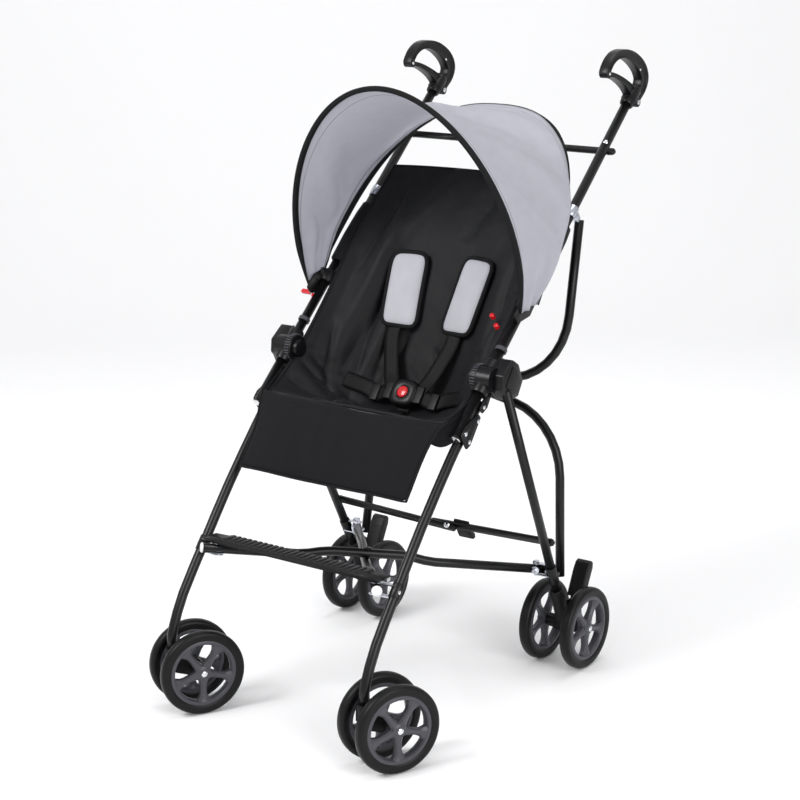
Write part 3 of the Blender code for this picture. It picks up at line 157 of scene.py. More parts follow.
# Moulded polypropylene: black, half matt, with a fine spark-eroded grain
moulded_black = material("fine_grained_moulded_black_polypropylene", srgb("#0e0e10"), 0.45, gloss=0.22)
grain(moulded_black, 0.5, 0.02)
finish(both("canopy_clip") + ["footrest"], moulded_black)
finish(both("rear_foot", "brake_pedal"), moulded_black, 0.0006)
finish(both("caster_fork"), moulded_black, 0.0007)
finish(["lock_latch"], moulded_black, 0.0005)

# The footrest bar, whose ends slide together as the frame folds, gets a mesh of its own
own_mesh(nodes["footrest"])


# Steel brackets
# Stamped and folded from steel sheet and bright zinc plated; they join the crossed tubes to the side
# frames. Black bands hide the zinc where a bracket wraps a leg, and rivets and bolts hold the tubes.
SHIFT = Vector((-0.0054, -0.4084, 0.0))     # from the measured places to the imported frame
X_AXIS = Vector((1.0, 0.0, 0.0))
FRONT_LEG_X = 0.2018                        # middle of a front leg at its bracket
FRONT_RIVET = Vector((0.2100, 0.1000, 0.2700))
REAR_LEG_TOP = Vector((0.2400, 0.3518, 0.5450))
REAR_LEG_FOOT = Vector((0.2203, 0.5673, 0.0725))
BAND_REACH = {"front": 0.0122, "rear": 0.0118}
BASE_FRONT = Vector((0.1650, 0.0974, 0.2700))
BASE_REAR = Vector((0.2012, 0.5182, 0.1833))
CLEVIS_SHIFTS = (-0.0080, 0.0150)           # both bolts along the base tube from its rear pivot
BOLT = [(-0.0120, 0.0034), (0.0100, 0.0034), (0.0102, 0.0066), (0.0140, 0.0066), (0.0152, 0.0050)]
BOLT_HEAD = [(0.0085, 0.0070), (0.0100, 0.0070), (0.0104, 0.0048), (0.0130, 0.0048), (0.0140, 0.0034)]
BOLT_HEAD_FACES = (0.35, -0.93, 0.0)        # where the clevis bolts' heads point
BRACKET_EDGE = 0.0003
FRONT_RIVET_R = 0.0040


def patchy(look, size_mm, low, high):
    """Roughness that varies over patches of that size."""
    tree = look.node_tree
    place = add(tree, "ShaderNodeTexCoord").outputs["Object"]
    cloud = add(tree, "ShaderNodeTexNoise", [("Vector", place)], Scale=1000.0 / size_mm, Detail=4.0)
    span = add(tree, "ShaderNodeMapRange", [("Value", cloud.outputs["Fac"])], From_Min=0.3, From_Max=0.7,
               To_Min=low, To_Max=high)
    tree.links.new(span.outputs["Result"], tree.nodes["Principled BSDF"].inputs["Roughness"])


def mirrored(point, sign):
    """A measured place on the right side or, with a sign of -1, on the left side."""
    return Vector((sign * point.x, point.y, point.z))


def new_mesh(name, points, faces, look, uvs=None):
    """A smooth mesh object with one material, and the cloth's own coordinates in metres where given."""
    data = bpy.data.meshes.new(name)
    data.from_pydata([tuple(p) for p in points], [], faces)
    if uvs:
        layer = data.uv_layers.new(name="UVMap")
        for loop in data.loops:
            layer.data[loop.index].uv = uvs[loop.vertex_index]
    data.materials.append(look)
    made = bpy.data.objects.new(name, data)
    bpy.context.scene.collection.objects.link(made)
    data.shade_smooth()
    return made


def outward(thing):
    """Faces all turned outward."""
    bm = bmesh.new()
    bm.from_mesh(thing.data)
    bmesh.ops.recalc_face_normals(bm, faces=bm.faces)
    bm.to_mesh(thing.data)
    bm.free()
    return thing


def ring_faces(rings, count):
    """Faces between rings of count points each, with a cap on both ends."""
    faces = []
    for k in range(rings - 1):
        for n in range(count):
            m = (n + 1) % count
            faces.append((k * count + n, k * count + m, (k + 1) * count + m, (k + 1) * count + n))
    faces.append(tuple(range(count - 1, -1, -1)))
    faces.append(tuple((rings - 1) * count + n for n in range(count)))
    return faces


def lathe(name, profile, centre, axis, look, segments=24):
    """A turned piece from (height, radius) pairs along an axis."""
    turn_to = Vector(axis).normalized().to_track_quat("Z", "Y").to_matrix()
    points = []
    for height, radius in profile:
        for n in range(segments):
            turn = 2 * math.pi * n / segments
            spoke = Vector((radius * math.cos(turn), radius * math.sin(turn), height))
            points.append(Vector(centre) + turn_to @ spoke)
    made = outward(new_mesh(name, points, ring_faces(len(profile), segments), look))
    made.data.set_sharp_from_angle(angle=math.radians(35))
    return made


# Zinc plate: bluish bright metal with patches of softer shine
zinc = material("bright_zinc_plated_pressed_steel", srgb("#c3c7d0"), 0.25, metallic=1.0)
patchy(zinc, 9.0, 0.18, 0.38)

# Nickel plate: the brightest metal here, on every screw and rivet
nickel = material("nickel_plated_steel", srgb("#dadce0"), 0.14, metallic=1.0)
patchy(nickel, 4.0, 0.10, 0.22)


def screw(name, at, axis, radius, body, height=0.0016):
    """A domed head with a rim, standing on a surface and moving with its body."""
    profile = [(-0.0010, radius), (height * 0.45, radius), (height * 0.8, radius * 0.75),
               (height, radius * 0.25)]
    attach(lathe(name, profile, at, axis, nickel, 18), body)


finish(both("top_bracket", "rear_bracket", "front_bracket"), zinc, BRACKET_EDGE)
for side, sign in SIDES:
    top, foot = mirrored(REAR_LEG_TOP, sign), mirrored(REAR_LEG_FOOT, sign)
    down_leg = (foot - top).normalized()
    for place, reach in BAND_REACH.items():
        node = nodes[f"{place}_bracket_{side}"]
        node.data.materials.append(powder_coat)
        for face in node.data.polygons:
            at = face.center - SHIFT
            if place == "front":
                off = abs(abs(at.x) - FRONT_LEG_X)
            else:
                off = (at - top - down_leg * (at - top).dot(down_leg)).length
            face.material_index = 1 if off < reach else 0
    rivet_at = mirrored(FRONT_RIVET, sign) + SHIFT
    screw(f"front_rivet_{side}", rivet_at, X_AXIS * sign, FRONT_RIVET_R, f"side_{side}")

    pivot = mirrored(BASE_REAR, -sign) + SHIFT
    along_base = (pivot - mirrored(BASE_FRONT, sign) - SHIFT).normalized()
    for number, shift in enumerate(CLEVIS_SHIFTS):
        at = pivot + along_base * shift
        bolt = lathe(f"clevis_bolt_{number}_{side}", BOLT, at, (0.0, 0.0, 1.0), zinc, 6)
        head = lathe(f"clevis_head_{number}_{side}", BOLT_HEAD, at, BOLT_HEAD_FACES, zinc, 24)
        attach(bolt, f"base_tube_{side}")
        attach(head, f"base_tube_{side}")


# Plugs and screws of the tubes
# White polyethylene plugs close the base tubes and pressed metal caps the handle tubes' lower ends.
# Domed nickel plated screws fix the sleeves, the hubs and the upper bar to the handle tubes.
HANDLE_FOOT = Vector((0.2065, 0.2591, 0.4816))
HANDLE_ANGLE = math.radians(42.6)
ALONG = Vector((0.0, math.cos(HANDLE_ANGLE), math.sin(HANDLE_ANGLE)))
ACROSS = Vector((0.0, -math.sin(HANDLE_ANGLE), math.cos(HANDLE_ANGLE)))
# Each frame screw: along the handle tube, across it and outward from its axis
FRAME_SCREWS = [(0.1560, 0.0010, 0.0130), (0.0745, -0.0178, 0.0092), (0.0460, -0.0160, 0.0128),
                (0.0080, -0.0200, 0.0128), (0.0115, -0.0020, 0.0128)]
UPPER_BAR_U = 0.6140                        # the upper bar's place along a handle tube
TOWARD_SEAT = Vector((0.45, -0.72, 0.53)).normalized()
BASE_PLUG = [(-0.0010, 0.0086), (0.0010, 0.0086), (0.0026, 0.0066), (0.0030, 0.0030)]
HANDLE_PLUG = [(0.0000, 0.0086), (0.0012, 0.0080), (0.0018, 0.0050)]
LOCK_RIVET = Vector((0.0159, 0.4996, 0.2335))
LOCK_RIVET_FACES = (0.3, -0.9, 0.3)
LOCK_RIVET_HEAD = (0.0050, 0.0030)          # radius and height
FRAME_SCREW_R = 0.0036
BAR_SCREW_R = 0.0034
BAR_SCREW_OUT = 0.0100                      # from the handle tube's axis
PLUG_OUT = {"front": 0.0270, "rear": 0.0120}          # each plug past its pivot along the base tube


def on_handle(sign, along, across=0.0, outward_by=0.0):
    """A point given along a handle tube, across it and outward from it."""
    foot = mirrored(HANDLE_FOOT + X_AXIS * outward_by, sign) + SHIFT
    return foot + ALONG * along + ACROSS * across


# Polyethylene: white, waxy and half matt
white_plug = material("moulded_white_polyethylene", srgb("#d6d6d8"), 0.5)
grain(white_plug, 1.0, 0.01)

for side, sign in SIDES:
    front, rear = mirrored(BASE_FRONT, sign) + SHIFT, mirrored(BASE_REAR, -sign) + SHIFT
    way = (rear - front).normalized()
    for place, pivot, out in (("front", front, -way), ("rear", rear, way)):
        plug_at = pivot + out * PLUG_OUT[place]
        plug = lathe(f"base_plug_{place}_{side}", BASE_PLUG, plug_at, out, white_plug)
        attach(plug, f"base_tube_{side}")
    cap = lathe(f"tube_plug_{side}", HANDLE_PLUG, on_handle(sign, -0.0030), -ALONG, nickel)
    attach(cap, f"side_{side}")
    for number, place in enumerate(FRAME_SCREWS):
        at = on_handle(sign, *place)
        screw(f"frame_screw_{side}_{number}", at, X_AXIS * sign, FRAME_SCREW_R, f"side_{side}")
    bar_at = on_handle(sign, UPPER_BAR_U) + TOWARD_SEAT * BAR_SCREW_OUT
    screw(f"bar_screw_{side}", bar_at, TOWARD_SEAT, BAR_SCREW_R, f"side_{side}")
rivet_r, rivet_height = LOCK_RIVET_HEAD
screw("lock_bar_rivet", LOCK_RIVET + SHIFT, LOCK_RIVET_FACES, rivet_r, "lock_bar_right", rivet_height)


# Grips
# Each grip is a nylon loop moulded in the plane of its tube: a thin front, a thick palm side and side
# faces sunk between raised rims. Its collar slips over the tube's end and a cross bolt holds it.
HANDLE_LENGTH = 0.6915
GRIP_HALF = 0.0088                          # half the width of the loop
# Loop and arm as (along, across, half thickness) from the tube's end
GRIP_LINE = [(-0.0010, 0.0930, 0.0058), (0.0080, 0.0965, 0.0056), (0.0240, 0.0975, 0.0060),
             (0.0430, 0.0915, 0.0068), (0.0615, 0.0755, 0.0078), (0.0765, 0.0490, 0.0100),
             (0.0835, 0.0190, 0.0118), (0.0790, -0.0020, 0.0122), (0.0640, -0.0105, 0.0106),
             (0.0460, -0.0110, 0.0092), (0.0300, -0.0110, 0.0080)]
ARM_LINE = [(0.0000, 0.0905, 0.0048), (0.0075, 0.0820, 0.0042), (0.0160, 0.0680, 0.0044),
            (0.0240, 0.0510, 0.0050), (0.0305, 0.0330, 0.0062), (0.0345, 0.0160, 0.0082),
            (0.0350, 0.0020, 0.0104)]
GRIP_SECTION = [(-1.0, -1.0), (-1.0, 1.0), (-0.72, 1.0), (-0.62, 0.72), (0.62, 0.72), (0.72, 1.0),
                (1.0, 1.0), (1.0, -1.0), (0.72, -1.0), (0.62, -0.72), (-0.62, -0.72), (-0.72, -1.0)]
COLLAR_UP = 0.0165                          # the collar's middle above the tube's end
BOLT_PLACE = (COLLAR_UP + 0.014, -0.0125)   # cross bolt, lip and pin, along and across from the tube's end
LIP_PLACE = (0.0010, 0.0915)
PIN_PLACE = (0.078, 0.018)
BOLT_R, BOLT_OUT = 0.0042, 0.0122
LIP_PIN_R = 0.0028
PIN_R, PIN_DEPTH = 0.0022, 0.0024
GRIP_EDGE = 0.0009
COLLAR = [(-0.004, 0.0112), (-0.002, 0.0122), (0.006, 0.0124), (0.0065, 0.0136), (0.030, 0.0136),
          (0.034, 0.0118)]
BOSS = [(-0.0120, 0.0085), (0.0112, 0.0085), (0.0120, 0.0075)]
LIP = [(-GRIP_HALF, 0.0), (-GRIP_HALF, 0.0066), (-GRIP_HALF + 0.001, 0.0076),
       (GRIP_HALF - 0.001, 0.0076), (GRIP_HALF, 0.0066), (GRIP_HALF, 0.0)]


def spline(points, steps):
    """A smooth row of points through the given ones."""
    points = [Vector(p) for p in points]
    made = []
    for k in range(len(points) - 1):
        a, b = points[max(k - 1, 0)], points[k]
        c, d = points[k + 1], points[min(k + 2, len(points) - 1)]
        for n in range(steps):
            t = n / steps
            made.append(0.5 * (2 * b + (c - a) * t + (2 * a - 5 * b + 4 * c - d) * t * t
                               + (3 * b - a - 3 * c + d) * t ** 3))
    made.append(points[-1])
    return made


def apply_modifiers(thing):
    """Turns the modifiers into plain mesh."""
    bpy.context.view_layer.update()
    evaluated = thing.evaluated_get(bpy.context.evaluated_depsgraph_get())
    data = bpy.data.meshes.new_from_object(evaluated)
    thing.modifiers.clear()
    thing.data = data
    return thing


def rounded(made, width, segments=3, limit=30, sharp=40):
    """Rounds the edges of a rigid piece and shades it smooth between them."""
    bevel = made.modifiers.new("edges", "BEVEL")
    bevel.width = width
    bevel.segments = segments
    bevel.limit_method = "ANGLE"
    bevel.angle_limit = math.radians(limit)
    apply_modifiers(made)
    made.data.shade_smooth()
    made.data.set_sharp_from_angle(angle=math.radians(sharp))
    return made


# Nylon: black with a polished, slightly wavy skin
gloss_black = material("polished_moulded_black_nylon", srgb("#0c0c0e"), 0.34, gloss=0.26)
grain(gloss_black, 6.0, 0.01)


def grip_band(name, sign, line):
    """A band along (along, across, half thickness) points whose side faces are sunk between rims."""
    middle = spline(line, 6)
    points = []
    for k, point in enumerate(middle):
        way = middle[min(k + 1, len(middle) - 1)] - middle[max(k - 1, 0)]
        normal = Vector((-way.y, way.x)).normalized()
        for a, b in GRIP_SECTION:
            along = point.x + normal.x * point.z * a
            across = point.y + normal.y * point.z * a
            points.append(on_handle(sign, HANDLE_LENGTH + along, across, GRIP_HALF * b))
    made = outward(new_mesh(name, points, ring_faces(len(middle), len(GRIP_SECTION)), gloss_black))
    return rounded(made, GRIP_EDGE, 2, 35, 42)


for side, sign in SIDES:
    body = f"side_{side}"
    collar_at = on_handle(sign, HANDLE_LENGTH + COLLAR_UP)
    bolt_at, lip_at, pin_at = [on_handle(sign, HANDLE_LENGTH + along, across)
                               for along, across in (BOLT_PLACE, LIP_PLACE, PIN_PLACE)]
    arch = grip_band(f"grip_loop_{side}", sign, GRIP_LINE)
    arm = grip_band(f"grip_arm_{side}", sign, ARM_LINE)
    socket = lathe(f"grip_collar_{side}", COLLAR, collar_at, ALONG, gloss_black, 28)
    boss = lathe(f"grip_boss_{side}", BOSS, bolt_at, X_AXIS, gloss_black)
    lip = lathe(f"grip_lip_{side}", LIP, lip_at, X_AXIS, gloss_black, 28)
    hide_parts(f"grip_arch_{side}")
    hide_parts(f"grip_socket_{side}")
    for piece in (arch, arm, socket, boss, lip):
        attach(piece, body)
    screw(f"grip_lip_pin_{side}", lip_at + X_AXIS * GRIP_HALF, X_AXIS, LIP_PIN_R, body)
    screw(f"grip_bolt_{side}", bolt_at + X_AXIS * BOLT_OUT, X_AXIS, BOLT_R, body)
    screw(f"grip_pin_{side}", pin_at + X_AXIS * (GRIP_HALF - PIN_DEPTH), X_AXIS, PIN_R, body)


# Hubs
# A nylon hub joins handle tube, front leg and rear leg: a sleeve on the tube, a barrel across it with
# a knurled grey ring, and a wedge that holds the rear leg's top. An ear plate takes the front leg.
HUB_U = 0.1166                              # the hub's middle along the handle tube
HUB_SLEEVE = [(-0.0300, 0.0125), (-0.0270, 0.0135), (0.0300, 0.0135), (0.0340, 0.0118)]
HUB_BARREL = [(-0.0285, 0.0110), (-0.0268, 0.0150), (-0.0200, 0.0158), (-0.0198, 0.0215),
              (-0.0180, 0.0233), (-0.0078, 0.0233), (-0.0070, 0.0220), (0.0180, 0.0200)]
# Outlines of the flat pieces, along and across the handle tube
WEDGE = [(0.1560, 0.0070), (0.1610, -0.0120), (0.1500, -0.0420), (0.1230, -0.0500), (0.1020, -0.0330),
         (0.1030, -0.0040), (0.1200, 0.0110)]
WEDGE_STEP = [(0.1470, 0.0010), (0.1510, -0.0120), (0.1430, -0.0350), (0.1240, -0.0410),
              (0.1110, -0.0290), (0.1120, -0.0060)]
EAR = [(0.0660, -0.0110), (0.0660, -0.0240), (0.0800, -0.0280), (0.1040, -0.0220), (0.1040, -0.0098)]
WEDGE_DEPTH = (0.0085, 0.0375)              # near and far faces, outward of the tube's axis
STEP_DEPTH = (0.0368, 0.0395)
EAR_DEPTH = (0.0041, 0.0083)
KNURLS = 30
KNURL_SIZE = (0.0100, 0.0018, 0.0016)
KNURL_RADIUS = 0.0234
KNURL_IN = 0.0125                           # middle of the knurled ring, inward of the tube's axis


def plate(name, sign, outline, depths, look, edge):
    """An outline along and across the handle tube, thick between two depths outward of its axis."""
    count = len(outline)
    points = [on_handle(sign, u, v, depth) for depth in depths for u, v in outline]
    faces = [tuple(range(count)), tuple(range(2 * count - 1, count - 1, -1))]
    faces += [(n, (n + 1) % count, (n + 1) % count + count, n + count) for n in range(count)]
    return rounded(outward(new_mesh(name, points, faces, look)), edge)


def block(name, middle, sizes, axes, look, edge=0.0015):
    """A box with rounded edges, given its middle, sizes and three directions."""
    points = []
    for a in (-0.5, 0.5):
        for b in (-0.5, 0.5):
            for c in (-0.5, 0.5):
                corner = axes[0] * sizes[0] * a + axes[1] * sizes[1] * b + axes[2] * sizes[2] * c
                points.append(middle + corner)
    faces = [(0, 1, 3, 2), (4, 6, 7, 5), (0, 4, 5, 1), (2, 3, 7, 6), (0, 2, 6, 4), (1, 5, 7, 3)]
    return rounded(outward(new_mesh(name, points, faces, look)), edge)


# Grey polypropylene: dark, smooth and a little shinier than the black mouldings
rim_grey = material("moulded_dark_grey_polypropylene", srgb("#3c3c42"), 0.36, gloss=0.4)
grain(rim_grey, 0.6, 0.02)

for side, sign in SIDES:
    hub_at = on_handle(sign, HUB_U)
    sleeve = lathe(f"hub_sleeve_{side}", HUB_SLEEVE, hub_at, ALONG, gloss_black, 32)
    barrel = lathe(f"hub_barrel_{side}", HUB_BARREL, hub_at, X_AXIS * sign, gloss_black, 40)
    wedge = plate(f"hub_wedge_{side}", sign, WEDGE, WEDGE_DEPTH, gloss_black, 0.0030)
    step = plate(f"hub_wedge_step_{side}", sign, WEDGE_STEP, STEP_DEPTH, moulded_black, 0.0010)
    ear = plate(f"hub_ear_{side}", sign, EAR, EAR_DEPTH, gloss_black, 0.0012)
    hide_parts(f"hub_{side}")
    for piece in (sleeve, barrel, wedge, step, ear):
        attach(piece, f"side_{side}")
    for number in range(KNURLS):
        turn = 2 * math.pi * number / KNURLS
        out = Vector((0.0, math.cos(turn), math.sin(turn)))
        rib_at = hub_at - X_AXIS * sign * KNURL_IN + out * KNURL_RADIUS
        rib = block(f"hub_rib_{side}_{number}", rib_at, KNURL_SIZE, (X_AXIS, out.cross(X_AXIS), out),
                    rim_grey, 0.0004)
        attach(rib, f"side_{side}")


# Release levers and collars
# Moulded red acetal: a lever with its catch on the left canopy clip, two buttons on the right one.
# A grey collar below each clip stops it on the handle tube.
COLLAR_U = 0.1750
GREY_COLLAR = [(-0.0035, 0.0098), (-0.0030, 0.0104), (0.0030, 0.0104), (0.0035, 0.0098)]
RED_BUTTON = [(-0.004, 0.0042), (0.0035, 0.0042), (0.0050, 0.0028)]
# Places along the handle tube, across it and outward from its axis
RED_BUTTONS = [(0.2345, 0.0040, -0.0440), (0.2163, 0.0040, -0.0270)]
LEVER = (0.2320, 0.0020, 0.0260)
LEVER_SIZE = (0.0210, 0.0080, 0.0070)
LEVER_PIN = (0.2320, 0.0040, 0.0130)
CATCH = (0.2250, 0.0040, 0.0050)
CATCH_SIZE = (0.0080, 0.0070, 0.0060)
LEVER_EDGE = 0.0018
LEVER_PIN_R = 0.0036

# Acetal: saturated red under a clear wet shine
red_gloss = material("moulded_red_acetal", srgb("#c9121c"), 0.24, coat=0.3)
grain(red_gloss, 3.0, 0.006)

tube_axes = (X_AXIS, ALONG, ACROSS)
lever = block("red_lever", on_handle(-1.0, *LEVER), LEVER_SIZE, tube_axes, red_gloss, LEVER_EDGE)
catch = block("red_catch", on_handle(-1.0, *CATCH), CATCH_SIZE, tube_axes, red_gloss, LEVER_EDGE)
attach(lever, "side_left")
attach(catch, "side_left")
screw("red_lever_pin", on_handle(-1.0, *LEVER_PIN), ACROSS, LEVER_PIN_R, "side_left")
for number, place in enumerate(RED_BUTTONS):
    red = lathe(f"red_button_{number}", RED_BUTTON, on_handle(1.0, *place), ACROSS, red_gloss, 20)
    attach(red, "side_right")
for side, sign in SIDES:
    collar = lathe(f"grey_collar_{side}", GREY_COLLAR, on_handle(sign, COLLAR_U), ALONG, rim_grey, 28)
    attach(collar, f"side_{side}")


# Wheels
# Foam rubber tyres with a tread shoulder and a groove, pressed onto moulded grey rims with five
# ridged spokes. Each pair turns on a steel axle, whose domed ends show on both sides.
# Profiles as (along the axle, radius)
TYRE = [(-0.0072, 0.0560), (-0.0088, 0.0585), (-0.0097, 0.0612), (-0.0094, 0.0622), (-0.0099, 0.0634),
        (-0.0097, 0.0672), (-0.0082, 0.0703), (-0.0050, 0.0720), (0.0, 0.0725)]
TYRE += [(-x, r) for x, r in TYRE[-2::-1]]
RIM = [(-0.0086, 0.0512), (-0.0086, 0.0540), (-0.0076, 0.0565), (0.0076, 0.0565), (0.0086, 0.0540),
       (0.0086, 0.0512), (0.0074, 0.0500), (0.0030, 0.0484), (-0.0030, 0.0484), (-0.0074, 0.0500)]
BUSH = [(-0.0100, 0.0), (-0.0100, 0.0075), (-0.0088, 0.0092), (-0.0078, 0.0122), (0.0078, 0.0122),
        (0.0088, 0.0092), (0.0100, 0.0075), (0.0100, 0.0)]
# A spoke as (distance from the axle, half width, half thickness)
SPOKE = [(0.0090, 0.0086, 0.0080), (0.0150, 0.0068, 0.0074), (0.0230, 0.0056, 0.0064),
         (0.0320, 0.0052, 0.0060), (0.0390, 0.0062, 0.0062), (0.0450, 0.0094, 0.0070),
         (0.0505, 0.0145, 0.0080)]
SPOKES = 5
FIRST_SPOKE = 126                           # its angle in degrees
AXLE_HALF = {"front": 0.0405, "rear": 0.0520}
AXLE_HEAD_R, AXLE_HEAD_HEIGHT = 0.0052, 0.0030


def turned(profile, segments, closed, wheel_axes, points, faces):
    """Adds a profile of (along, radius), turned round the wheel's axis, to points and faces."""
    centre, axis, first, second = wheel_axes
    start, count = len(points), len(profile)
    for n in range(segments):
        angle = 2 * math.pi * n / segments
        ray = first * math.cos(angle) + second * math.sin(angle)
        points += [centre + axis * x + ray * r for x, r in profile]
    for n in range(segments):
        for k in range(count if closed else count - 1):
            a, b = start + n * count, start + (n + 1) % segments * count
            faces.append((a + k, a + (k + 1) % count, b + (k + 1) % count, b + k))


def spokes(wheel_axes, points, faces):
    """Adds tapered spokes with a raised ridge along both faces."""
    centre, axis, first, second = wheel_axes
    for n in range(SPOKES):
        angle = math.radians(FIRST_SPOKE + 360 / SPOKES * n)
        ray = first * math.cos(angle) + second * math.sin(angle)
        side = axis.cross(ray)
        start = len(points)
        for reach, half, thick in SPOKE:
            section = [(half, 0.55 * thick), (0.5 * half, thick), (-0.5 * half, thick), (-half, 0.55 * thick)]
            section += [(-w, -t) for w, t in section]
            points += [centre + ray * reach + side * w + axis * t for w, t in section]
        for k in range(len(SPOKE) - 1):
            for j in range(8):
                a, b = start + 8 * k, start + 8 * (k + 1)
                faces.append((a + j, a + (j + 1) % 8, b + (j + 1) % 8, b + j))
        faces.append(tuple(start + j for j in range(8)))
        faces.append(tuple(start + 8 * (len(SPOKE) - 1) + j for j in range(7, -1, -1)))


# Foam rubber: near black, with a fine pebbled skin that shines a little at its shoulders
rubber = material("moulded_foam_rubber", srgb("#070708"), 0.42, gloss=0.22)
grain(rubber, 1.2, 0.05)

for joint in frame["joints"]:
    if not joint["name"].startswith("spin_"):
        continue
    wheel = joint["name"].removeprefix("spin_")
    place, side_and_row = wheel.split("_", 1)
    axis = Vector(joint["axis"]).normalized()
    low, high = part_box(f"tyre_{wheel}")
    centre = (Vector(low) + Vector(high)) / 2
    upright = Vector((0.0, 0.0, 1.0))
    wheel_axes = (centre, axis, axis.cross(upright).normalized(), upright)
    points, faces = [], []
    turned(TYRE, 96, True, wheel_axes, points, faces)
    tyre = outward(new_mesh(f"round_tyre_{wheel}", points, faces, rubber))
    points, faces = [], []
    turned(RIM, 96, True, wheel_axes, points, faces)
    turned(BUSH, 40, False, wheel_axes, points, faces)
    spokes(wheel_axes, points, faces)
    rim = outward(new_mesh(f"spoked_rim_{wheel}", points, faces, rim_grey))
    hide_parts(f"tyre_{wheel}")
    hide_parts(f"rim_{wheel}")
    for piece, angle, slot in ((tyre, 50, "tyre"), (rim, 32, "rim_grey")):
        piece.data.shade_smooth()
        piece.data.set_sharp_from_angle(angle=math.radians(angle))
        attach(piece, f"{place}_wheel_{side_and_row}")
    if wheel.endswith("_outer"):
        for way in (1.0, -1.0):
            head_at = Vector(joint["pos_m"]) + axis * way * AXLE_HALF[place]
            screw(f"axle_head_{joint['name']}_{way:.0f}", head_at, axis * way, AXLE_HEAD_R,
                  joint["parent"], AXLE_HEAD_HEIGHT)


# Seat sling
# One lined sheet of black woven polyester, slung between the handle tubes and folded up to the leg
# panel. Tape binds its edges, and sleeves sewn to its sides hold the tubes.
# Row by row from the top of the back to the front edge: the middle (y, z) and the right edge (x, y, z)
SEAT_ROWS = [((0.618, 0.846), (0.172, 0.612, 0.843)), ((0.582, 0.792), (0.181, 0.563, 0.787)),
             ((0.545, 0.735), (0.189, 0.508, 0.725)), ((0.502, 0.640), (0.193, 0.438, 0.640)),
             ((0.468, 0.555), (0.191, 0.376, 0.580)), ((0.436, 0.487), (0.191, 0.327, 0.538)),
             ((0.388, 0.458), (0.192, 0.291, 0.512)), ((0.325, 0.470), (0.188, 0.270, 0.503)),
             ((0.264, 0.500), (0.180, 0.260, 0.498))]
LAST_ROW = len(SEAT_ROWS) - 1
SEAT_T = 0.0064
ROW_STEPS = 16                              # mesh rows between two of the rows above
HALF_COLUMNS = 60
# Pull lines of the cloth: (start share, start row, end share, end row, half width, depth)
PULLS = [(-0.62, 1.6, -0.80, 4.6, 0.016, 0.0060), (-0.45, 2.4, -0.70, 5.0, 0.010, -0.0060),
         (-0.34, 2.9, -0.56, 5.2, 0.012, 0.0050), (-0.88, 2.4, -0.93, 4.4, 0.012, -0.0050),
         (-0.95, 5.2, -0.50, 6.4, 0.016, 0.0060), (-0.90, 4.6, -0.42, 5.9, 0.010, -0.0055),
         (-0.22, 3.6, -0.40, 5.5, 0.009, -0.0040), (0.88, 3.0, 0.60, 5.2, 0.012, 0.0050),
         (0.80, 2.2, 0.72, 4.6, 0.010, -0.0045), (0.93, 5.4, 0.45, 6.4, 0.014, 0.0050),
         (0.30, 4.2, 0.20, 5.6, 0.009, -0.0030), (-0.15, 0.3, -0.60, 2.2, 0.020, 0.0035),
         (0.40, 0.4, 0.15, 2.0, 0.016, -0.0025), (-0.80, 0.5, -0.72, 2.0, 0.012, -0.0035)]
# Sharper creases where the cloth bends between back and seat
CREASES = [(-0.86, 3.7, -0.78, 5.1, 0.0060, -0.0048), (-0.78, 5.1, -0.58, 6.3, 0.0070, -0.0052),
           (-0.55, 2.6, -0.60, 4.3, 0.0055, -0.0036), (-0.60, 4.3, -0.54, 5.9, 0.0065, -0.0050),
           (-0.40, 3.0, -0.45, 4.6, 0.0055, -0.0034), (-0.45, 4.6, -0.40, 6.2, 0.0065, -0.0048),
           (-0.24, 3.8, -0.31, 5.6, 0.0050, -0.0030), (0.10, 4.0, 0.34, 5.7, 0.0060, -0.0032),
           (-0.94, 4.9, -0.66, 5.7, 0.0060, -0.0045), (-0.96, 5.6, -0.55, 6.4, 0.0070, -0.0045),
           (0.86, 3.4, 0.74, 5.4, 0.0060, -0.0036), (-0.70, 0.7, -0.84, 2.6, 0.0060, -0.0025)]
PULL_DEPTH = 2.1                            # how much deeper the folds hang than their given depth
RIPPLES = [(0.0012, 28.0), (0.0005, 90.0)]  # height, noise scale
EDGE_POWER = 10                             # power that keeps the folds out of the sling's edges
HEM_R = 0.0042
HEM_SHARE = 0.995
SLEEVE = [(0.3050, 0.0122), (0.3080, 0.0150), (0.3600, 0.0164), (0.4100, 0.0154), (0.4320, 0.0134),
          (0.4330, 0.0120)]                 # along the handle tube, radius
SLEEVE_OFF = (0.0, -0.0020, -0.0015)


def seat_row(position):
    """The values of a row at any position between the given ones."""
    index = int(min(max(math.floor(position), 0), LAST_ROW - 1))
    t = position - index
    rows = [SEAT_ROWS[min(max(index + shift, 0), LAST_ROW)] for shift in (-1, 0, 1, 2)]
    values = []
    for a, b, c, d in zip(*[list(row[0]) + list(row[1]) for row in rows]):
        values.append(0.5 * (2 * b + (c - a) * t + (2 * a - 5 * b + 4 * c - d) * t * t
                             + (3 * b - a - 3 * c + d) * t ** 3))
    return values


def seat_surface(share, position):
    """The sling's middle surface; share runs from -1 at the left edge to 1."""
    mid_y, mid_z, edge_x, edge_y, edge_z = seat_row(position)
    weight = 1.0 - abs(share) ** 2.6
    y = edge_y + (mid_y - edge_y) * weight
    z = edge_z + (mid_z - edge_z) * weight
    return Vector((share * edge_x, y, z)) + SHIFT


def seat_normal(share, position):
    """The direction that faces the child at a place of the sling."""
    share = min(max(share, -0.98), 0.98)
    low, high = max(position - 0.02, 0.0), min(position + 0.02, LAST_ROW)
    along = seat_surface(share, high) - seat_surface(share, low)
    across = seat_surface(share + 0.02, position) - seat_surface(share - 0.02, position)
    return along.cross(across).normalized()


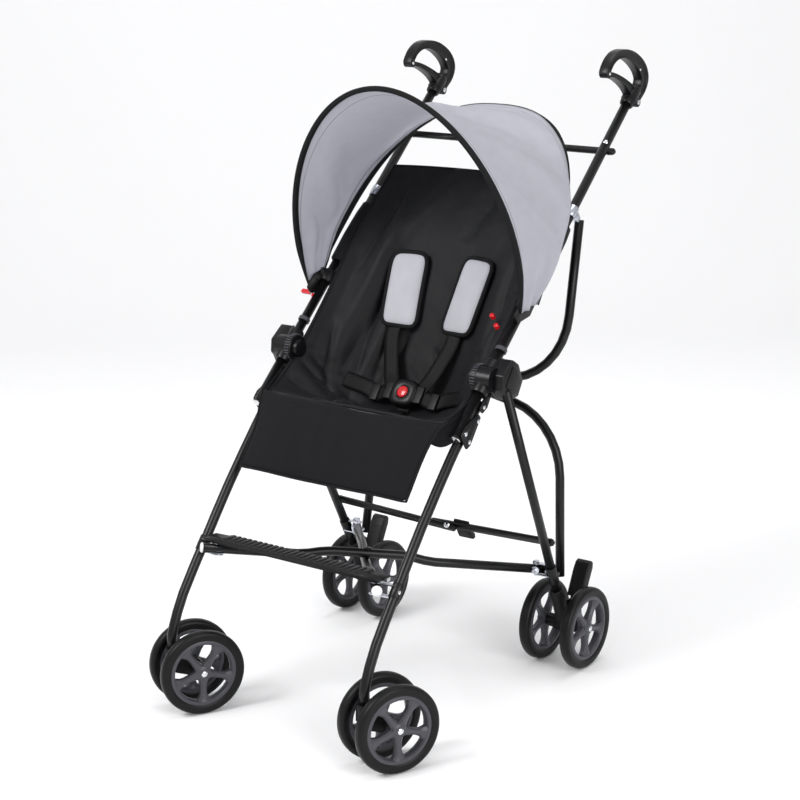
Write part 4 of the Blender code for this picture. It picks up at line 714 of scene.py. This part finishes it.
def seat_at(share, position, lift=0.0):
    """A point lifted off the sling's middle surface."""
    return seat_surface(share, position) + seat_normal(share, position) * lift


def pulled(point):
    """Height of the cloth's folds at that point."""
    total = 0.0
    for start, end, width, depth in pull_lines:
        way = end - start
        t = min(max((point - start).dot(way) / way.length_squared, 0.0), 1.0)
        off = (point - start - way * t).length
        fade = math.sin(math.pi * (0.08 + 0.92 * t)) ** 0.5
        total += PULL_DEPTH * depth * math.exp(-(off / width) ** 2) * fade
    for height, scale in RIPPLES:
        total += height * noise.noise(point * scale)
    return total


def lengths(points):
    """Running length along a row of points."""
    total = [0.0]
    for a, b in zip(points, points[1:]):
        total.append(total[-1] + (b - a).length)
    return total


def cloth_grid(name, rows, look, thickness):
    """A sheet through rows of points, with metre coordinates, thickened about its middle."""
    count = len(rows[0])
    faces = []
    for r in range(len(rows) - 1):
        for c in range(count - 1):
            a = r * count + c
            faces.append((a, a + 1, a + count + 1, a + count))
    middle = count // 2
    along = lengths([row[middle] for row in rows])
    uvs = []
    for r, row in enumerate(rows):
        across = lengths(row)
        uvs += [(u - across[middle], along[r]) for u in across]
    made = new_mesh(name, [p for row in rows for p in row], faces, look, uvs)
    solid = made.modifiers.new("thickness", "SOLIDIFY")
    solid.thickness = thickness
    solid.offset = 0.0
    return apply_modifiers(made)


def tube(name, points, radius, look, sides=12):
    """A closed round tube along points."""
    ring_points = []
    side = Vector((0.31, 0.77, 0.55))
    for k, point in enumerate(points):
        way = (points[min(k + 1, len(points) - 1)] - points[max(k - 1, 0)]).normalized()
        side = (side - way * side.dot(way)).normalized()
        other = way.cross(side)
        for n in range(sides):
            turn = 2 * math.pi * n / sides
            ring_points.append(point + side * math.cos(turn) * radius + other * math.sin(turn) * radius)
    return outward(new_mesh(name, ring_points, ring_faces(len(points), sides), look))


def weave(look, pitch_mm, depth_mm, dark, light):
    """Plain weave from two sets of threads over the cloth's own coordinates, in metres."""
    tree = look.node_tree
    main = tree.nodes["Principled BSDF"]
    place = add(tree, "ShaderNodeUVMap").outputs["UV"]
    # A wave's period is two threads, and the node's bands repeat every 2 pi / 20 at a scale of 1
    waves = [add(tree, "ShaderNodeTexWave", [("Vector", place)], bands_direction=way,
                 Scale=1000.0 / pitch_mm / 20.0 * math.pi, Distortion=0.4) for way in ("X", "Y")]
    threads = add(tree, "ShaderNodeMath", [(n, wave.outputs["Fac"]) for n, wave in enumerate(waves)],
                  operation="MULTIPLY")
    # Patches of about 22 mm, where the dye took up unevenly
    cloud = add(tree, "ShaderNodeTexNoise", [("Vector", place)], Scale=45.0, Detail=5.0)
    total = add(tree, "ShaderNodeMath", [(0, threads.outputs[0]), (1, cloud.outputs["Fac"])], operation="ADD")
    tint = add(tree, "ShaderNodeValToRGB", [("Fac", total.outputs[0])])
    tint.color_ramp.elements[0].position = 0.35
    tint.color_ramp.elements[0].color = dark
    tint.color_ramp.elements[1].position = 1.0
    tint.color_ramp.elements[1].color = light
    tree.links.new(tint.outputs["Color"], main.inputs["Base Color"])
    bump = add(tree, "ShaderNodeBump", [("Height", threads.outputs[0])], Strength=0.8,
               Distance=depth_mm / 1000.0)
    tree.links.new(bump.outputs["Normal"], main.inputs["Normal"])


def folded(thing):
    """A soft piece of the seat, which narrows as the frame folds, rides on the seat body with a mesh of its
    own.
    """
    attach(thing, "seat")
    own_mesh(thing)
    return thing


# Polyester canvas: black and nearly matt, with a fine thread and a thin nap
seat_cloth = material("woven_black_polyester", srgb("#0d0d10"), 0.60, sheen=0.06, gloss=0.22)
weave(seat_cloth, 0.45, 0.01, srgb("#0d0d10"), srgb("#121215"))

# Binding tape: matt black, with a ribbed grain
binding_tape = material("woven_black_binding_tape", srgb("#0f0f11"), 0.8, gloss=0.2)
grain(binding_tape, 0.9, 0.08)

pull_lines = [(seat_surface(a, b), seat_surface(c, d), w, h) for a, b, c, d, w, h in PULLS + CREASES]
sling_rows = []
for r in range(LAST_ROW * ROW_STEPS + 1):
    row = []
    for c in range(2 * HALF_COLUMNS + 1):
        share, position = c / HALF_COLUMNS - 1.0, r / ROW_STEPS
        place = seat_at(share, position)
        row.append(place + seat_normal(share, position) * pulled(place) * (1.0 - abs(share) ** EDGE_POWER))
    sling_rows.append(row)
sling = cloth_grid("seat_sling", sling_rows, seat_cloth, SEAT_T)
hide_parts("seat")
folded(sling)

hem_places = [k / 6 for k in range(LAST_ROW * 6 + 1)]
for label, path in (("left", [seat_at(-HEM_SHARE, position) for position in hem_places]),
                    ("right", [seat_at(HEM_SHARE, position) for position in hem_places]),
                    ("top", [seat_at(c / 16 - 1.0, 0.0) for c in range(33)])):
    folded(tube(f"seat_hem_{label}", path, HEM_R, binding_tape))
for side, sign in SIDES:
    sleeve = lathe(f"seat_sleeve_{side}", SLEEVE, on_handle(sign, *SLEEVE_OFF), ALONG, seat_cloth, 28)
    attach(sleeve, f"side_{side}")


# Leg panel
# Two layers of black cloth over thin foam, sewn round the edge and piped; its top edge is sewn to
# the seat. Gussets close the sides between its upper edges and the lower ends of the handle tubes.
PANEL_LINE = [(0.2570, 0.5035), (0.2450, 0.4955), (0.2300, 0.4760), (0.2130, 0.4520), (0.1950, 0.4270),
              (0.1700, 0.3930)]             # (y, z) of its middle from top to foot
PANEL_TOP_HALF = 0.194
PANEL_FOOT_HALF = 0.172
PANEL_T = 0.0125
PANEL_DIP = 0.006
PANEL_CREASE = 0.0050
PANEL_OUT = 0.002
PANEL_SWELL = 0.005                         # furthest that pressure may move the skin
PANEL_PIPING_R = 0.0022
GUSSET_T = 0.0012
GUSSET_TOP, GUSSET_LENGTH = 0.092, 0.098    # where it starts on the handle tube, and its run down the tube
GUSSET_FOOT = 0.40                          # how far down the panel it reaches
GUSSET_IN = -0.0060
GUSSET_SAG = 0.008
PRESSURE = 3.0
CLOTH_FRAMES = 20


def pillow(name, base, rows, columns, thickness, look):
    """A closed pillow over base(across, down), which gives a middle point and its normal."""
    points, uvs, grid = [], [], {}
    for layer in (1.0, -1.0):
        for r in range(rows + 1):
            for c in range(columns + 1):
                across, down = 2.0 * c / columns - 1.0, r / rows
                place, normal = base(across, down)
                rim = (1.0 - abs(across) ** 6) * (1.0 - abs(2.0 * down - 1.0) ** 6)
                if layer < 0 and (r in (0, rows) or c in (0, columns)):
                    grid[layer, r, c] = grid[1.0, r, c]
                    continue
                grid[layer, r, c] = len(points)
                points.append(place + normal * layer * thickness / 2 * rim ** 0.5)
                uvs.append((place.x, place.z - place.y))
    faces = []
    for layer in (1.0, -1.0):
        for r in range(rows):
            for c in range(columns):
                face = [grid[layer, r, c], grid[layer, r, c + 1], grid[layer, r + 1, c + 1],
                        grid[layer, r + 1, c]]
                faces.append(face if layer > 0 else face[::-1])
    made = outward(new_mesh(name, points, faces, look, uvs))
    edge = [n for (layer, r, c), n in grid.items() if layer > 0 and (r in (0, rows) or c in (0, columns))]
    made.vertex_groups.new(name="seam").add(edge, 1.0, "REPLACE")
    return made


def filled(thing, cap):
    """Blows the skin out from its sewn edge, at most cap away from where it was."""
    start = [v.co.copy() for v in thing.data.vertices]
    cloth = thing.modifiers.new("cloth", "CLOTH")
    cloth.settings.quality = 5
    cloth.settings.mass = 0.15
    cloth.settings.use_pressure = True
    cloth.settings.vertex_group_mass = "seam"
    cloth.settings.uniform_pressure_force = PRESSURE
    cloth.settings.effector_weights.gravity = 0.0
    cloth.settings.tension_stiffness = 15
    cloth.settings.compression_stiffness = 15
    cloth.settings.shear_stiffness = 5
    cloth.settings.bending_stiffness = 0.3
    cloth.point_cache.frame_start = 1
    cloth.point_cache.frame_end = CLOTH_FRAMES
    for step in range(1, CLOTH_FRAMES + 1):
        bpy.context.scene.frame_set(step)
    apply_modifiers(thing)
    bpy.context.scene.frame_set(1)
    for vertex, first in zip(thing.data.vertices, start):
        move = vertex.co - first
        if move.length > cap:
            vertex.co = first + move * (cap / move.length)
    soft = thing.modifiers.new("soft", "SUBSURF")
    soft.levels = 1
    soft.render_levels = 1
    apply_modifiers(thing)
    thing.data.shade_smooth()
    return thing


panel_line = spline([Vector((0.0, y, z)) + SHIFT for y, z in PANEL_LINE], 6)


def panel_base(across, down):
    """The leg panel's middle surface, its top edge dipping between the frame tubes."""
    at = down * (len(panel_line) - 1.001)
    low = int(at)
    place = panel_line[low].lerp(panel_line[low + 1], at - low)
    way = (panel_line[low + 1] - panel_line[low]).normalized()
    half = PANEL_FOOT_HALF + (PANEL_TOP_HALF - PANEL_FOOT_HALF) * (1.0 - down) ** 2.2
    dip = PANEL_DIP * (1.0 - across ** 2) * (1.0 - down) ** 2
    crease = PANEL_CREASE * noise.noise(Vector((across * 2.2, down * 1.6, 7.0)))
    normal = X_AXIS.cross(way).normalized()
    if normal.y > 0:
        normal = -normal
    return place + X_AXIS * across * half - Vector((0, 0, dip)) + normal * (crease + PANEL_OUT), normal


# Padded polyester canvas: the seat's cloth, duller over its foam. Its colours are set apart from the seat's
# as painted shade, for the light that falls on the panel; the cloth itself is the same.
shaded_panel_cloth = material("woven_black_polyester_padded_painted_shade", srgb("#121215"), 0.85, sheen=0.04, gloss=0.15)
weave(shaded_panel_cloth, 0.45, 0.01, srgb("#101012"), srgb("#141417"))

panel = pillow("leg_panel_padding", panel_base, 26, 60, PANEL_T, shaded_panel_cloth)
filled(panel, PANEL_SWELL)
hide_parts("leg_panel")
folded(panel)

piping_path = [panel_base(-1.0, k / 12)[0] for k in range(12)]
piping_path += [panel_base(c / 20 - 1.0, 1.0)[0] for c in range(41)]
piping_path += [panel_base(1.0, 1.0 - k / 12)[0] for k in range(1, 13)]
folded(tube("leg_panel_piping", piping_path, PANEL_PIPING_R, binding_tape))

for side, sign in SIDES:
    rows = []
    for r in range(13):
        down = r / 12
        start = panel_base(sign * 0.97, GUSSET_FOOT * down)[0]
        end = on_handle(sign, GUSSET_TOP - GUSSET_LENGTH * down, GUSSET_IN, GUSSET_IN)
        sag = Vector((0.0, 0.0, -GUSSET_SAG)) * down
        rows.append([start.lerp(end, c / 10) + sag * math.sin(math.pi * c / 10) for c in range(11)])
    # The gussets take the panel's cloth, with its painted shade.
    folded(cloth_grid(f"side_gusset_{side}", rows, shaded_panel_cloth, GUSSET_T))


# Shoulder pads
# Slim foam pads in the canopy's silver-grey cloth, bound with black tape round the edge. The
# shoulder webbing runs behind them.
# Each pad's top and foot: position along the seat's rows, inner and outer distance from its middle
PAD_TOPS = {"left": (2.31, 0.033, 0.104), "right": (2.28, 0.046, 0.112)}
PAD_FOOT = (3.60, 0.027, 0.096)
PAD_LIFT = 0.0095                           # off the seat's middle surface
PAD_ARCH = 0.0040
PAD_T = 0.0120
PAD_SWELL = 0.004
PAD_BINDING_R = 0.0042

# Padded silver-grey polyester: smooth and half matt
pad_cloth = material("woven_silver_grey_polyester_padded", srgb("#b0b0b8"), 0.66, gloss=0.25)
weave(pad_cloth, 0.40, 0.02, srgb("#a6a6ac"), srgb("#b2b2b9"))


def shoulder_pad(side, sign):
    """One pad and its binding."""
    def base(across, down):
        values = [top + (foot - top) * down for top, foot in zip(PAD_TOPS[side], PAD_FOOT)]
        position = values[0] + 0.05 * across ** 6 * (1.0 - 2.0 * down)
        middle, half = (values[1] + values[2]) / 2, (values[2] - values[1]) / 2
        half *= 1.0 - 0.14 * abs(2.0 * down - 1.0) ** 12
        share = sign * (middle + half * across) / seat_row(position)[2]
        arch = PAD_ARCH * (1.0 - across ** 2)
        return seat_at(share, position, PAD_LIFT + arch), seat_normal(share, position)

    pad = pillow(f"shoulder_padding_{side}", base, 24, 14, PAD_T, pad_cloth)
    filled(pad, PAD_SWELL)
    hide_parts(f"shoulder_pad_{side}")
    folded(pad)
    ring = [base(c / 8 - 1.0, 0.0)[0] for c in range(16)] + [base(1.0, k / 14)[0] for k in range(14)]
    ring += [base(1.0 - c / 8, 1.0)[0] for c in range(16)] + [base(-1.0, 1.0 - k / 14)[0] for k in range(15)]
    folded(tube(f"shoulder_pad_binding_{side}", ring, PAD_BINDING_R, binding_tape))


for side, sign in SIDES:
    shoulder_pad(side, sign)


# Harness
# Ribbed polyester webbing from both pads, both sides and the crotch meets at the buckle. Moulded
# tongues click into its sides, and a slider on each waist strap sets its length.
BUCKLE_AT = Vector((0.0, 0.4000, 0.4950)) + SHIFT
BUCKLE_FACE = Vector((0.0, -0.80, 0.60))
BUCKLE_UP = BUCKLE_FACE.cross(X_AXIS)
WEB_WIDTH = 0.0280
WEB_T = 0.0016
WEB_FOOT = {"left": 0.0690, "right": 0.0615}          # where a strap leaves its pad, from the middle
WEB_LEAN = {"left": -0.018, "right": 0.010}
TONGUE_OUT = 0.0300                         # middle of each tongue from the buckle's middle
TONGUE_SIZE = (0.019, 0.031, 0.009)
SLIDER_SIZE = (0.015, 0.029, 0.0045)

# Webbing: black polyester with ribs coarse enough to see
web_tape = material("ribbed_black_polyester_webbing", srgb("#08080a"), 0.6, gloss=0.2)
weave(web_tape, 1.6, 0.25, srgb("#040405"), srgb("#0c0c0e"))


def strap(name, places, across):
    """Webbing along a smooth line through places, with its width along across."""
    points = spline(places, 8)
    rows = []
    for k, point in enumerate(points):
        way = (points[min(k + 1, len(points) - 1)] - points[max(k - 1, 0)]).normalized()
        side = (across - way * across.dot(way)).normalized()
        rows.append([point + side * WEB_WIDTH * (n / 4 - 0.5) for n in range(5)])
    return cloth_grid(name, rows, web_tape, WEB_T)


straps = []
buckle_axes = (X_AXIS, BUCKLE_UP, BUCKLE_FACE)
for side, sign in SIDES:
    tongue = BUCKLE_AT + X_AXIS * sign * TONGUE_OUT - BUCKLE_FACE * 0.001
    slider = tongue + X_AXIS * sign * 0.032 - BUCKLE_UP * 0.006 - BUCKLE_FACE * 0.003
    folded(block(f"tongue_{side}", tongue, TONGUE_SIZE, buckle_axes, moulded_black))
    folded(block(f"slider_{side}", slider, SLIDER_SIZE, buckle_axes, moulded_black, 0.001))
    foot = WEB_FOOT[side] / seat_row(3.60)[2]
    above = tongue + BUCKLE_UP * 0.040 + X_AXIS * WEB_LEAN[side] - BUCKLE_FACE * 0.004
    shoulder = [seat_at(sign * foot, 3.54, 0.0120), seat_at(sign * foot * 0.99, 3.90, 0.0150), above,
                tongue + BUCKLE_UP * 0.010]
    straps.append(strap(f"shoulder_web_{side}", shoulder, X_AXIS))
    beside = tongue + X_AXIS * sign * 0.030 - BUCKLE_UP * 0.006 - BUCKLE_FACE * 0.005
    waist = [seat_at(sign * 0.66, 5.05, 0.0060), seat_at(sign * 0.47, 5.20, 0.0120), beside,
             tongue + X_AXIS * sign * 0.006]
    straps.append(strap(f"waist_web_{side}", waist, BUCKLE_UP))
behind = BUCKLE_AT - BUCKLE_FACE * 0.0095
crotch = [seat_at(0.0, 6.35, 0.0045), seat_at(0.0, 6.0, 0.0090),
          behind - BUCKLE_UP * 0.036 - BUCKLE_FACE * 0.002, behind - BUCKLE_UP * 0.010]
straps.append(strap("crotch_web", crotch, X_AXIS))
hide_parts("harness_webbing")
for piece in straps:
    folded(piece)


# Buckle
# A rounded nylon housing, moulded in two halves, with a red release button in its front.
HOLE_R = 0.0112
HOLE_DEPTH = 0.0066
BUTTON_EDGE = 0.0006
RING_POINTS = 48
HOUSING_RINGS = [(0.0135, 0.0130, 0.0076), (0.0222, 0.0210, 0.0068), (0.0258, 0.0242, 0.0035),
                 (0.0264, 0.0248, -0.0060), (0.0180, 0.0160, -0.0070)]      # half width, half height, height


def buckle_ring(half_width, half_height, height, power=3.2):
    """A rounded rectangle round the button, or an ellipse with a power of 2."""
    ring = []
    for n in range(RING_POINTS):
        turn = 2 * math.pi * n / RING_POINTS
        c, k = math.cos(turn), math.sin(turn)
        reach = (abs(c) ** power + abs(k) ** power) ** (-1 / power)
        ring.append(BUCKLE_AT + X_AXIS * c * reach * half_width + BUCKLE_UP * k * reach * half_height
                    + BUCKLE_FACE * height)
    return ring


rings = [buckle_ring(HOLE_R, HOLE_R, depth, 2.0) for depth in (0.0, HOLE_DEPTH)]
rings += [buckle_ring(*ring) for ring in HOUSING_RINGS]
faces = []
for r in range(len(rings)):
    near, far = r * RING_POINTS, (r + 1) % len(rings) * RING_POINTS
    faces += [(near + n, near + (n + 1) % RING_POINTS, far + (n + 1) % RING_POINTS, far + n)
              for n in range(RING_POINTS)]
housing = outward(new_mesh("buckle_housing", [p for ring in rings for p in ring], faces, gloss_black))
housing.data.set_sharp_from_angle(angle=math.radians(50))
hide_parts("buckle")
folded(housing)
finish(["buckle_button"], red_gloss, BUTTON_EDGE)


# Canopy
# One continuous cover of thin silver-grey polyester on a front bow, taut over its middle, gathered
# at both clips and hanging below its rear crest. A seam runs beside the black tape of both edges.
# A bow's top and foot as (y, z), its flare in x and its squareness
FRONT_BOW = ((0.3432, 1.0155), (0.4220, 0.6560), 0.0620, -0.176)
CREST_BOW = ((0.6670, 0.9697), (0.4650, 0.6640), 0.1230, -0.246)
CANOPY_HALF_WIDTH = 0.2225
REAR_FOOT = (0.4650, 0.6640)
REAR_TILT = math.radians(52.5)
REAR_REACH = 0.368
REAR_HALF_WIDTH = 0.2285
CREST = 0.87                                # share of the cover's width where its crest lies
FALL = 0.79                                 # share where the cover starts to bend down to its rear edge
COVER_STATIONS = 120
COVER_COLUMNS = 36
COVER_DIP = 0.026
COVER_T = 0.0012
GATHER_REACH = 0.35                         # turn from each foot in which the cloth is gathered
GATHER_HEIGHT = 0.0032
SOFT_HEIGHT = 0.0075
HEM = 0.014                                 # a hem's dimple from its edge
DIMPLE, DIMPLE_WIDTH = 0.0007, 0.0014
SEAM_COLUMN = 3
SEAM_R = 0.0010
# Soft folds of the cover: (start turn, start share, end turn, end share, half width, height)
DRAPES = [(0.55, 0.95, 1.25, 0.10, 0.10, 0.0060), (0.35, 0.90, 0.95, 0.15, 0.07, -0.0050),
          (0.80, 0.98, 1.60, 0.35, 0.09, -0.0055), (1.10, 0.95, 1.85, 0.25, 0.08, 0.0050),
          (2.55, 0.95, 2.05, 0.10, 0.09, 0.0060), (2.75, 0.92, 2.35, 0.12, 0.06, -0.0055),
          (2.30, 0.97, 1.75, 0.30, 0.08, -0.0060), (2.90, 0.90, 2.62, 0.15, 0.05, 0.0045),
          (1.95, 0.97, 1.45, 0.20, 0.07, 0.0040)]
DRAPE_HEIGHT = 2.6                          # how much higher the folds stand than their given height
# Tape folded over an edge: its radius, how far it stands out, and its flap and back as (across, up)
FRONT_TAPE = (0.0046, 1.0, (0.0070, 0.0024), (0.0070, -0.0024))
REAR_TAPE = (0.0040, 2.4, (0.0150, 0.0062), (0.0010, -0.0024))


def bow_point(turn, bow):
    """A point of a bow, from its right foot at a turn of 0 to its left foot at pi."""
    top, foot, flare, squareness = bow
    side = math.cos(turn) * (CANOPY_HALF_WIDTH + flare * math.sin(turn))
    rise = math.sin(turn) * (1.0 + squareness * math.cos(turn) ** 2)
    return Vector((side, foot[0] + rise * (top[0] - foot[0]), foot[1] + rise * (top[1] - foot[1]))) + SHIFT


def rear_edge(turn):
    """The rear edge, a squarish hoop that hangs below and behind the crest of the cover."""
    side = math.copysign(abs(math.cos(turn)) ** 0.8, math.cos(turn)) * REAR_HALF_WIDTH
    rise = abs(math.sin(turn)) ** 0.8 * REAR_REACH
    y = REAR_FOOT[0] + rise * math.cos(REAR_TILT)
    z = REAR_FOOT[1] + rise * math.sin(REAR_TILT)
    return Vector((side, y, z)) + SHIFT


def cover_place(turn, share):
    """The cover's middle surface: straight to its crest, then falling to the rear edge."""
    front, crest, rear = bow_point(turn, FRONT_BOW), bow_point(turn, CREST_BOW), rear_edge(turn)
    straight = front.lerp(crest, share / CREST)
    fall = max(share - FALL, 0.0) / (1.0 - FALL)
    return straight + (rear - front.lerp(crest, 1.0 / CREST)) * fall ** 1.6


def canopy_frame(turn):
    """Both edge points, the direction across the cover and its normal at that turn."""
    front, rear = bow_point(turn, FRONT_BOW), rear_edge(turn)
    way = bow_point(turn + 0.01, FRONT_BOW) + rear_edge(turn + 0.01) \
        - bow_point(turn - 0.01, FRONT_BOW) - rear_edge(turn - 0.01)
    across = (rear - front).normalized()
    return front, rear, across, way.normalized().cross(across).normalized()


def drape(turn, share):
    """Height of the cover's folds, which run from the rear edge toward the front bow."""
    total = 0.0
    for t0, s0, t1, s1, width, height in DRAPES:
        way = (t1 - t0, s1 - s0)
        t = ((turn - t0) * way[0] + (share - s0) * way[1]) / (way[0] ** 2 + way[1] ** 2)
        t = min(max(t, 0.0), 1.0)
        off = math.hypot(turn - t0 - way[0] * t, share - s0 - way[1] * t)
        total += DRAPE_HEIGHT * height * math.exp(-(off / width) ** 2) * (1.0 - 0.75 * t)
    return total


def cover_row(turn):
    """One row of the cover's points, from the front bow to the rear edge."""
    front, rear, across, normal = canopy_frame(turn)
    if normal.dot(Vector((math.cos(turn), 0, math.sin(turn)))) < 0:
        normal = -normal
    span = (rear - front).length
    gather = math.exp(-(min(turn, math.pi - turn) / GATHER_REACH) ** 2)
    dip = COVER_DIP * (0.30 + 0.70 * math.sin(turn) ** 3)
    row = []
    for n in range(COVER_COLUMNS + 1):
        share = n / COVER_COLUMNS
        slack = math.sin(math.pi * share)
        sag = -dip * slack ** 0.8 * (1.0 - gather)
        ripple = GATHER_HEIGHT * gather * slack * math.sin(share * 5.2 * math.pi + 1.7 * math.cos(turn))
        soft = SOFT_HEIGHT * slack * noise.noise(Vector((turn * 2.3 + share * 2.0, share * 1.7 - turn, 4.0)))
        hem = DIMPLE * math.exp(-((share * span - HEM) / DIMPLE_WIDTH) ** 2)
        hem += DIMPLE * math.exp(-(((1.0 - share) * span - HEM) / DIMPLE_WIDTH) ** 2)
        lift = sag + ripple + soft + drape(turn, share) * slack ** 2 - hem
        row.append(cover_place(turn, share) + normal * lift)
    return row


def edge_binding(name, tape):
    """Tape folded over an edge, with a flat flap on each face of the cover."""
    at_front = tape is FRONT_TAPE
    radius, stands_out, flap, back = tape
    profile = []
    for n in range(9):
        turn = math.pi * (0.5 + n / 8)
        profile.append((radius * math.cos(turn) * stands_out, radius * math.sin(turn)))
    profile += [back, flap]
    points = []
    for turn in cover_turns:
        front, rear, across, normal = canopy_frame(turn)
        flank = min(math.sin(turn) / 0.25 + 0.15, 1.0)
        if not at_front:
            across = (rear - cover_place(turn, 0.93)).normalized()
            along = rear_edge(min(turn + 0.01, math.pi)) - rear_edge(max(turn - 0.01, 0.0))
            bowed = along.normalized().cross(across).normalized()
            normal = bowed if bowed.dot(normal) > 0 else -bowed
            flank *= min(max((abs(math.cos(turn)) - 0.28) / 0.25, 0.12), 1.0)
        at, inward = (front, across) if at_front else (rear, -across)
        for a, b in profile:
            points.append(at + inward * a * flank + normal * b * (0.4 + 0.6 * flank))
    made = outward(new_mesh(name, points, ring_faces(len(cover_turns), len(profile)), binding_tape))
    made.data.set_sharp_from_angle(angle=math.radians(50))
    return made


def cover_seam(name, column):
    """A line of thread laid on the cover along one column."""
    return tube(name, [row[column] for row in cover_rows], SEAM_R, thread, 8)


# Thin silver-grey polyester: daylight shines through it, so that its inside glows softly
canopy_cloth = material("woven_silver_grey_polyester", srgb("#a2a2aa"), 0.66, gloss=0.25)
weave(canopy_cloth, 0.40, 0.02, srgb("#afafb6"), srgb("#bfbfc6"))
tree = canopy_cloth.node_tree
lit_from_front = tree.nodes["Principled BSDF"].outputs["BSDF"]
lit_through = add(tree, "ShaderNodeBsdfTranslucent", Color=srgb("#dedee5")).outputs["BSDF"]
thin = add(tree, "ShaderNodeMixShader", [(1, lit_from_front), (2, lit_through)], Fac=0.45)
tree.links.new(thin.outputs["Shader"], tree.nodes["Material Output"].inputs["Surface"])

# Sewing thread: spun polyester, grey and dull
thread = material("spun_grey_sewing_thread", srgb("#8d8d96"), 0.8)
grain(thread, 0.8, 0.05)

cover_turns = [math.pi * k / COVER_STATIONS for k in range(COVER_STATIONS + 1)]
cover_rows = [cover_row(turn) for turn in cover_turns]
cover = cloth_grid("canopy_cover", cover_rows, canopy_cloth, COVER_T)
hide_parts("canopy")
for piece in (cover, edge_binding("canopy_front_binding", FRONT_TAPE),
              edge_binding("canopy_rear_binding", REAR_TAPE), cover_seam("canopy_front_seam", SEAM_COLUMN),
              cover_seam("canopy_rear_seam", COVER_COLUMNS - SEAM_COLUMN)):
    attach(piece, "canopy")
    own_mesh(piece)


# Studio
# A floor of matt white painted board that rises into a backdrop, three large soft lamps and a white
# sky, with the camera at the measured view of the object.
FLOOR_HALF = 6.0
FLOOR_FRONT = -5.0
BEND_AT = 2.5                               # where the floor starts to rise
BEND_R = 1.5
BEND_STEPS = 13
WALL_TOP = 6.0
CAMERA_AT = Vector((1.9450, -2.2072, 1.3521)) + SHIFT
LOOKS_AT = Vector((0.0660, 0.3000, 0.5148)) + SHIFT
CAMERA_ROLL = -0.845                        # in degrees
CAMERA_TURN = 36.85                         # about the upright, in degrees, which the floor follows
LENS_MM, SENSOR_MM = 88.8, 36.0
SKY_STRENGTH = 0.62
# Name, place, what it faces, size and power
LAMPS = [("key_light", (-1.2, -2.6, 2.9), (0, 0, 0.5), 1.6, 88.0),
         ("fill_light", (3.0, -1.2, 1.6), (0, 0, 0.5), 2.2, 62.0),
         ("top_light", (0.2, 0.6, 3.4), (0, 0, 0.4), 2.4, 34.0)]

studio_white = material("matt_white_painted_board", srgb("#f4f4f5"), 0.9)
line = [(FLOOR_FRONT, 0.0)]
for k in range(BEND_STEPS + 1):
    turn = math.pi / 2 * k / BEND_STEPS
    line.append((BEND_AT + BEND_R * math.sin(turn), BEND_R - BEND_R * math.cos(turn)))
line.append((BEND_AT + BEND_R, WALL_TOP))
points = [(x, y, z) for x in (-FLOOR_HALF, FLOOR_HALF) for y, z in line]
strips = [(k, k + len(line), k + len(line) + 1, k + 1) for k in range(len(line) - 1)]
floor = new_mesh("floor", points, strips, studio_white)
floor.matrix_world = Matrix.Rotation(math.radians(CAMERA_TURN), 4, "Z")


def soft_light(name, place, towards, size, power):
    """A large round lamp."""
    data = bpy.data.lights.new(name, "AREA")
    data.shape = "DISK"
    data.size = size
    data.energy = power
    lamp = bpy.data.objects.new(name, data)
    lamp.location = place
    lamp.rotation_euler = (Vector(towards) - Vector(place)).to_track_quat("-Z", "Y").to_euler()
    bpy.context.scene.collection.objects.link(lamp)


for lamp in LAMPS:
    soft_light(*lamp)
world = bpy.data.worlds.new("studio_air")
bpy.context.scene.world = world
world.use_nodes = True
world.node_tree.nodes["Background"].inputs["Color"].default_value = srgb("#ffffff")
world.node_tree.nodes["Background"].inputs["Strength"].default_value = SKY_STRENGTH
bpy.context.scene.view_settings.view_transform = "Standard"

lens = bpy.data.cameras.new("camera")
lens.lens = LENS_MM
lens.sensor_width = SENSOR_MM
camera = bpy.data.objects.new("camera", lens)
bpy.context.scene.collection.objects.link(camera)
aim = (LOOKS_AT - CAMERA_AT).to_track_quat("-Z", "Y").to_matrix().to_4x4()
roll = Matrix.Rotation(math.radians(CAMERA_ROLL), 4, "Z")
camera.matrix_world = Matrix.Translation(CAMERA_AT) @ aim @ roll
bpy.context.scene.camera = camera
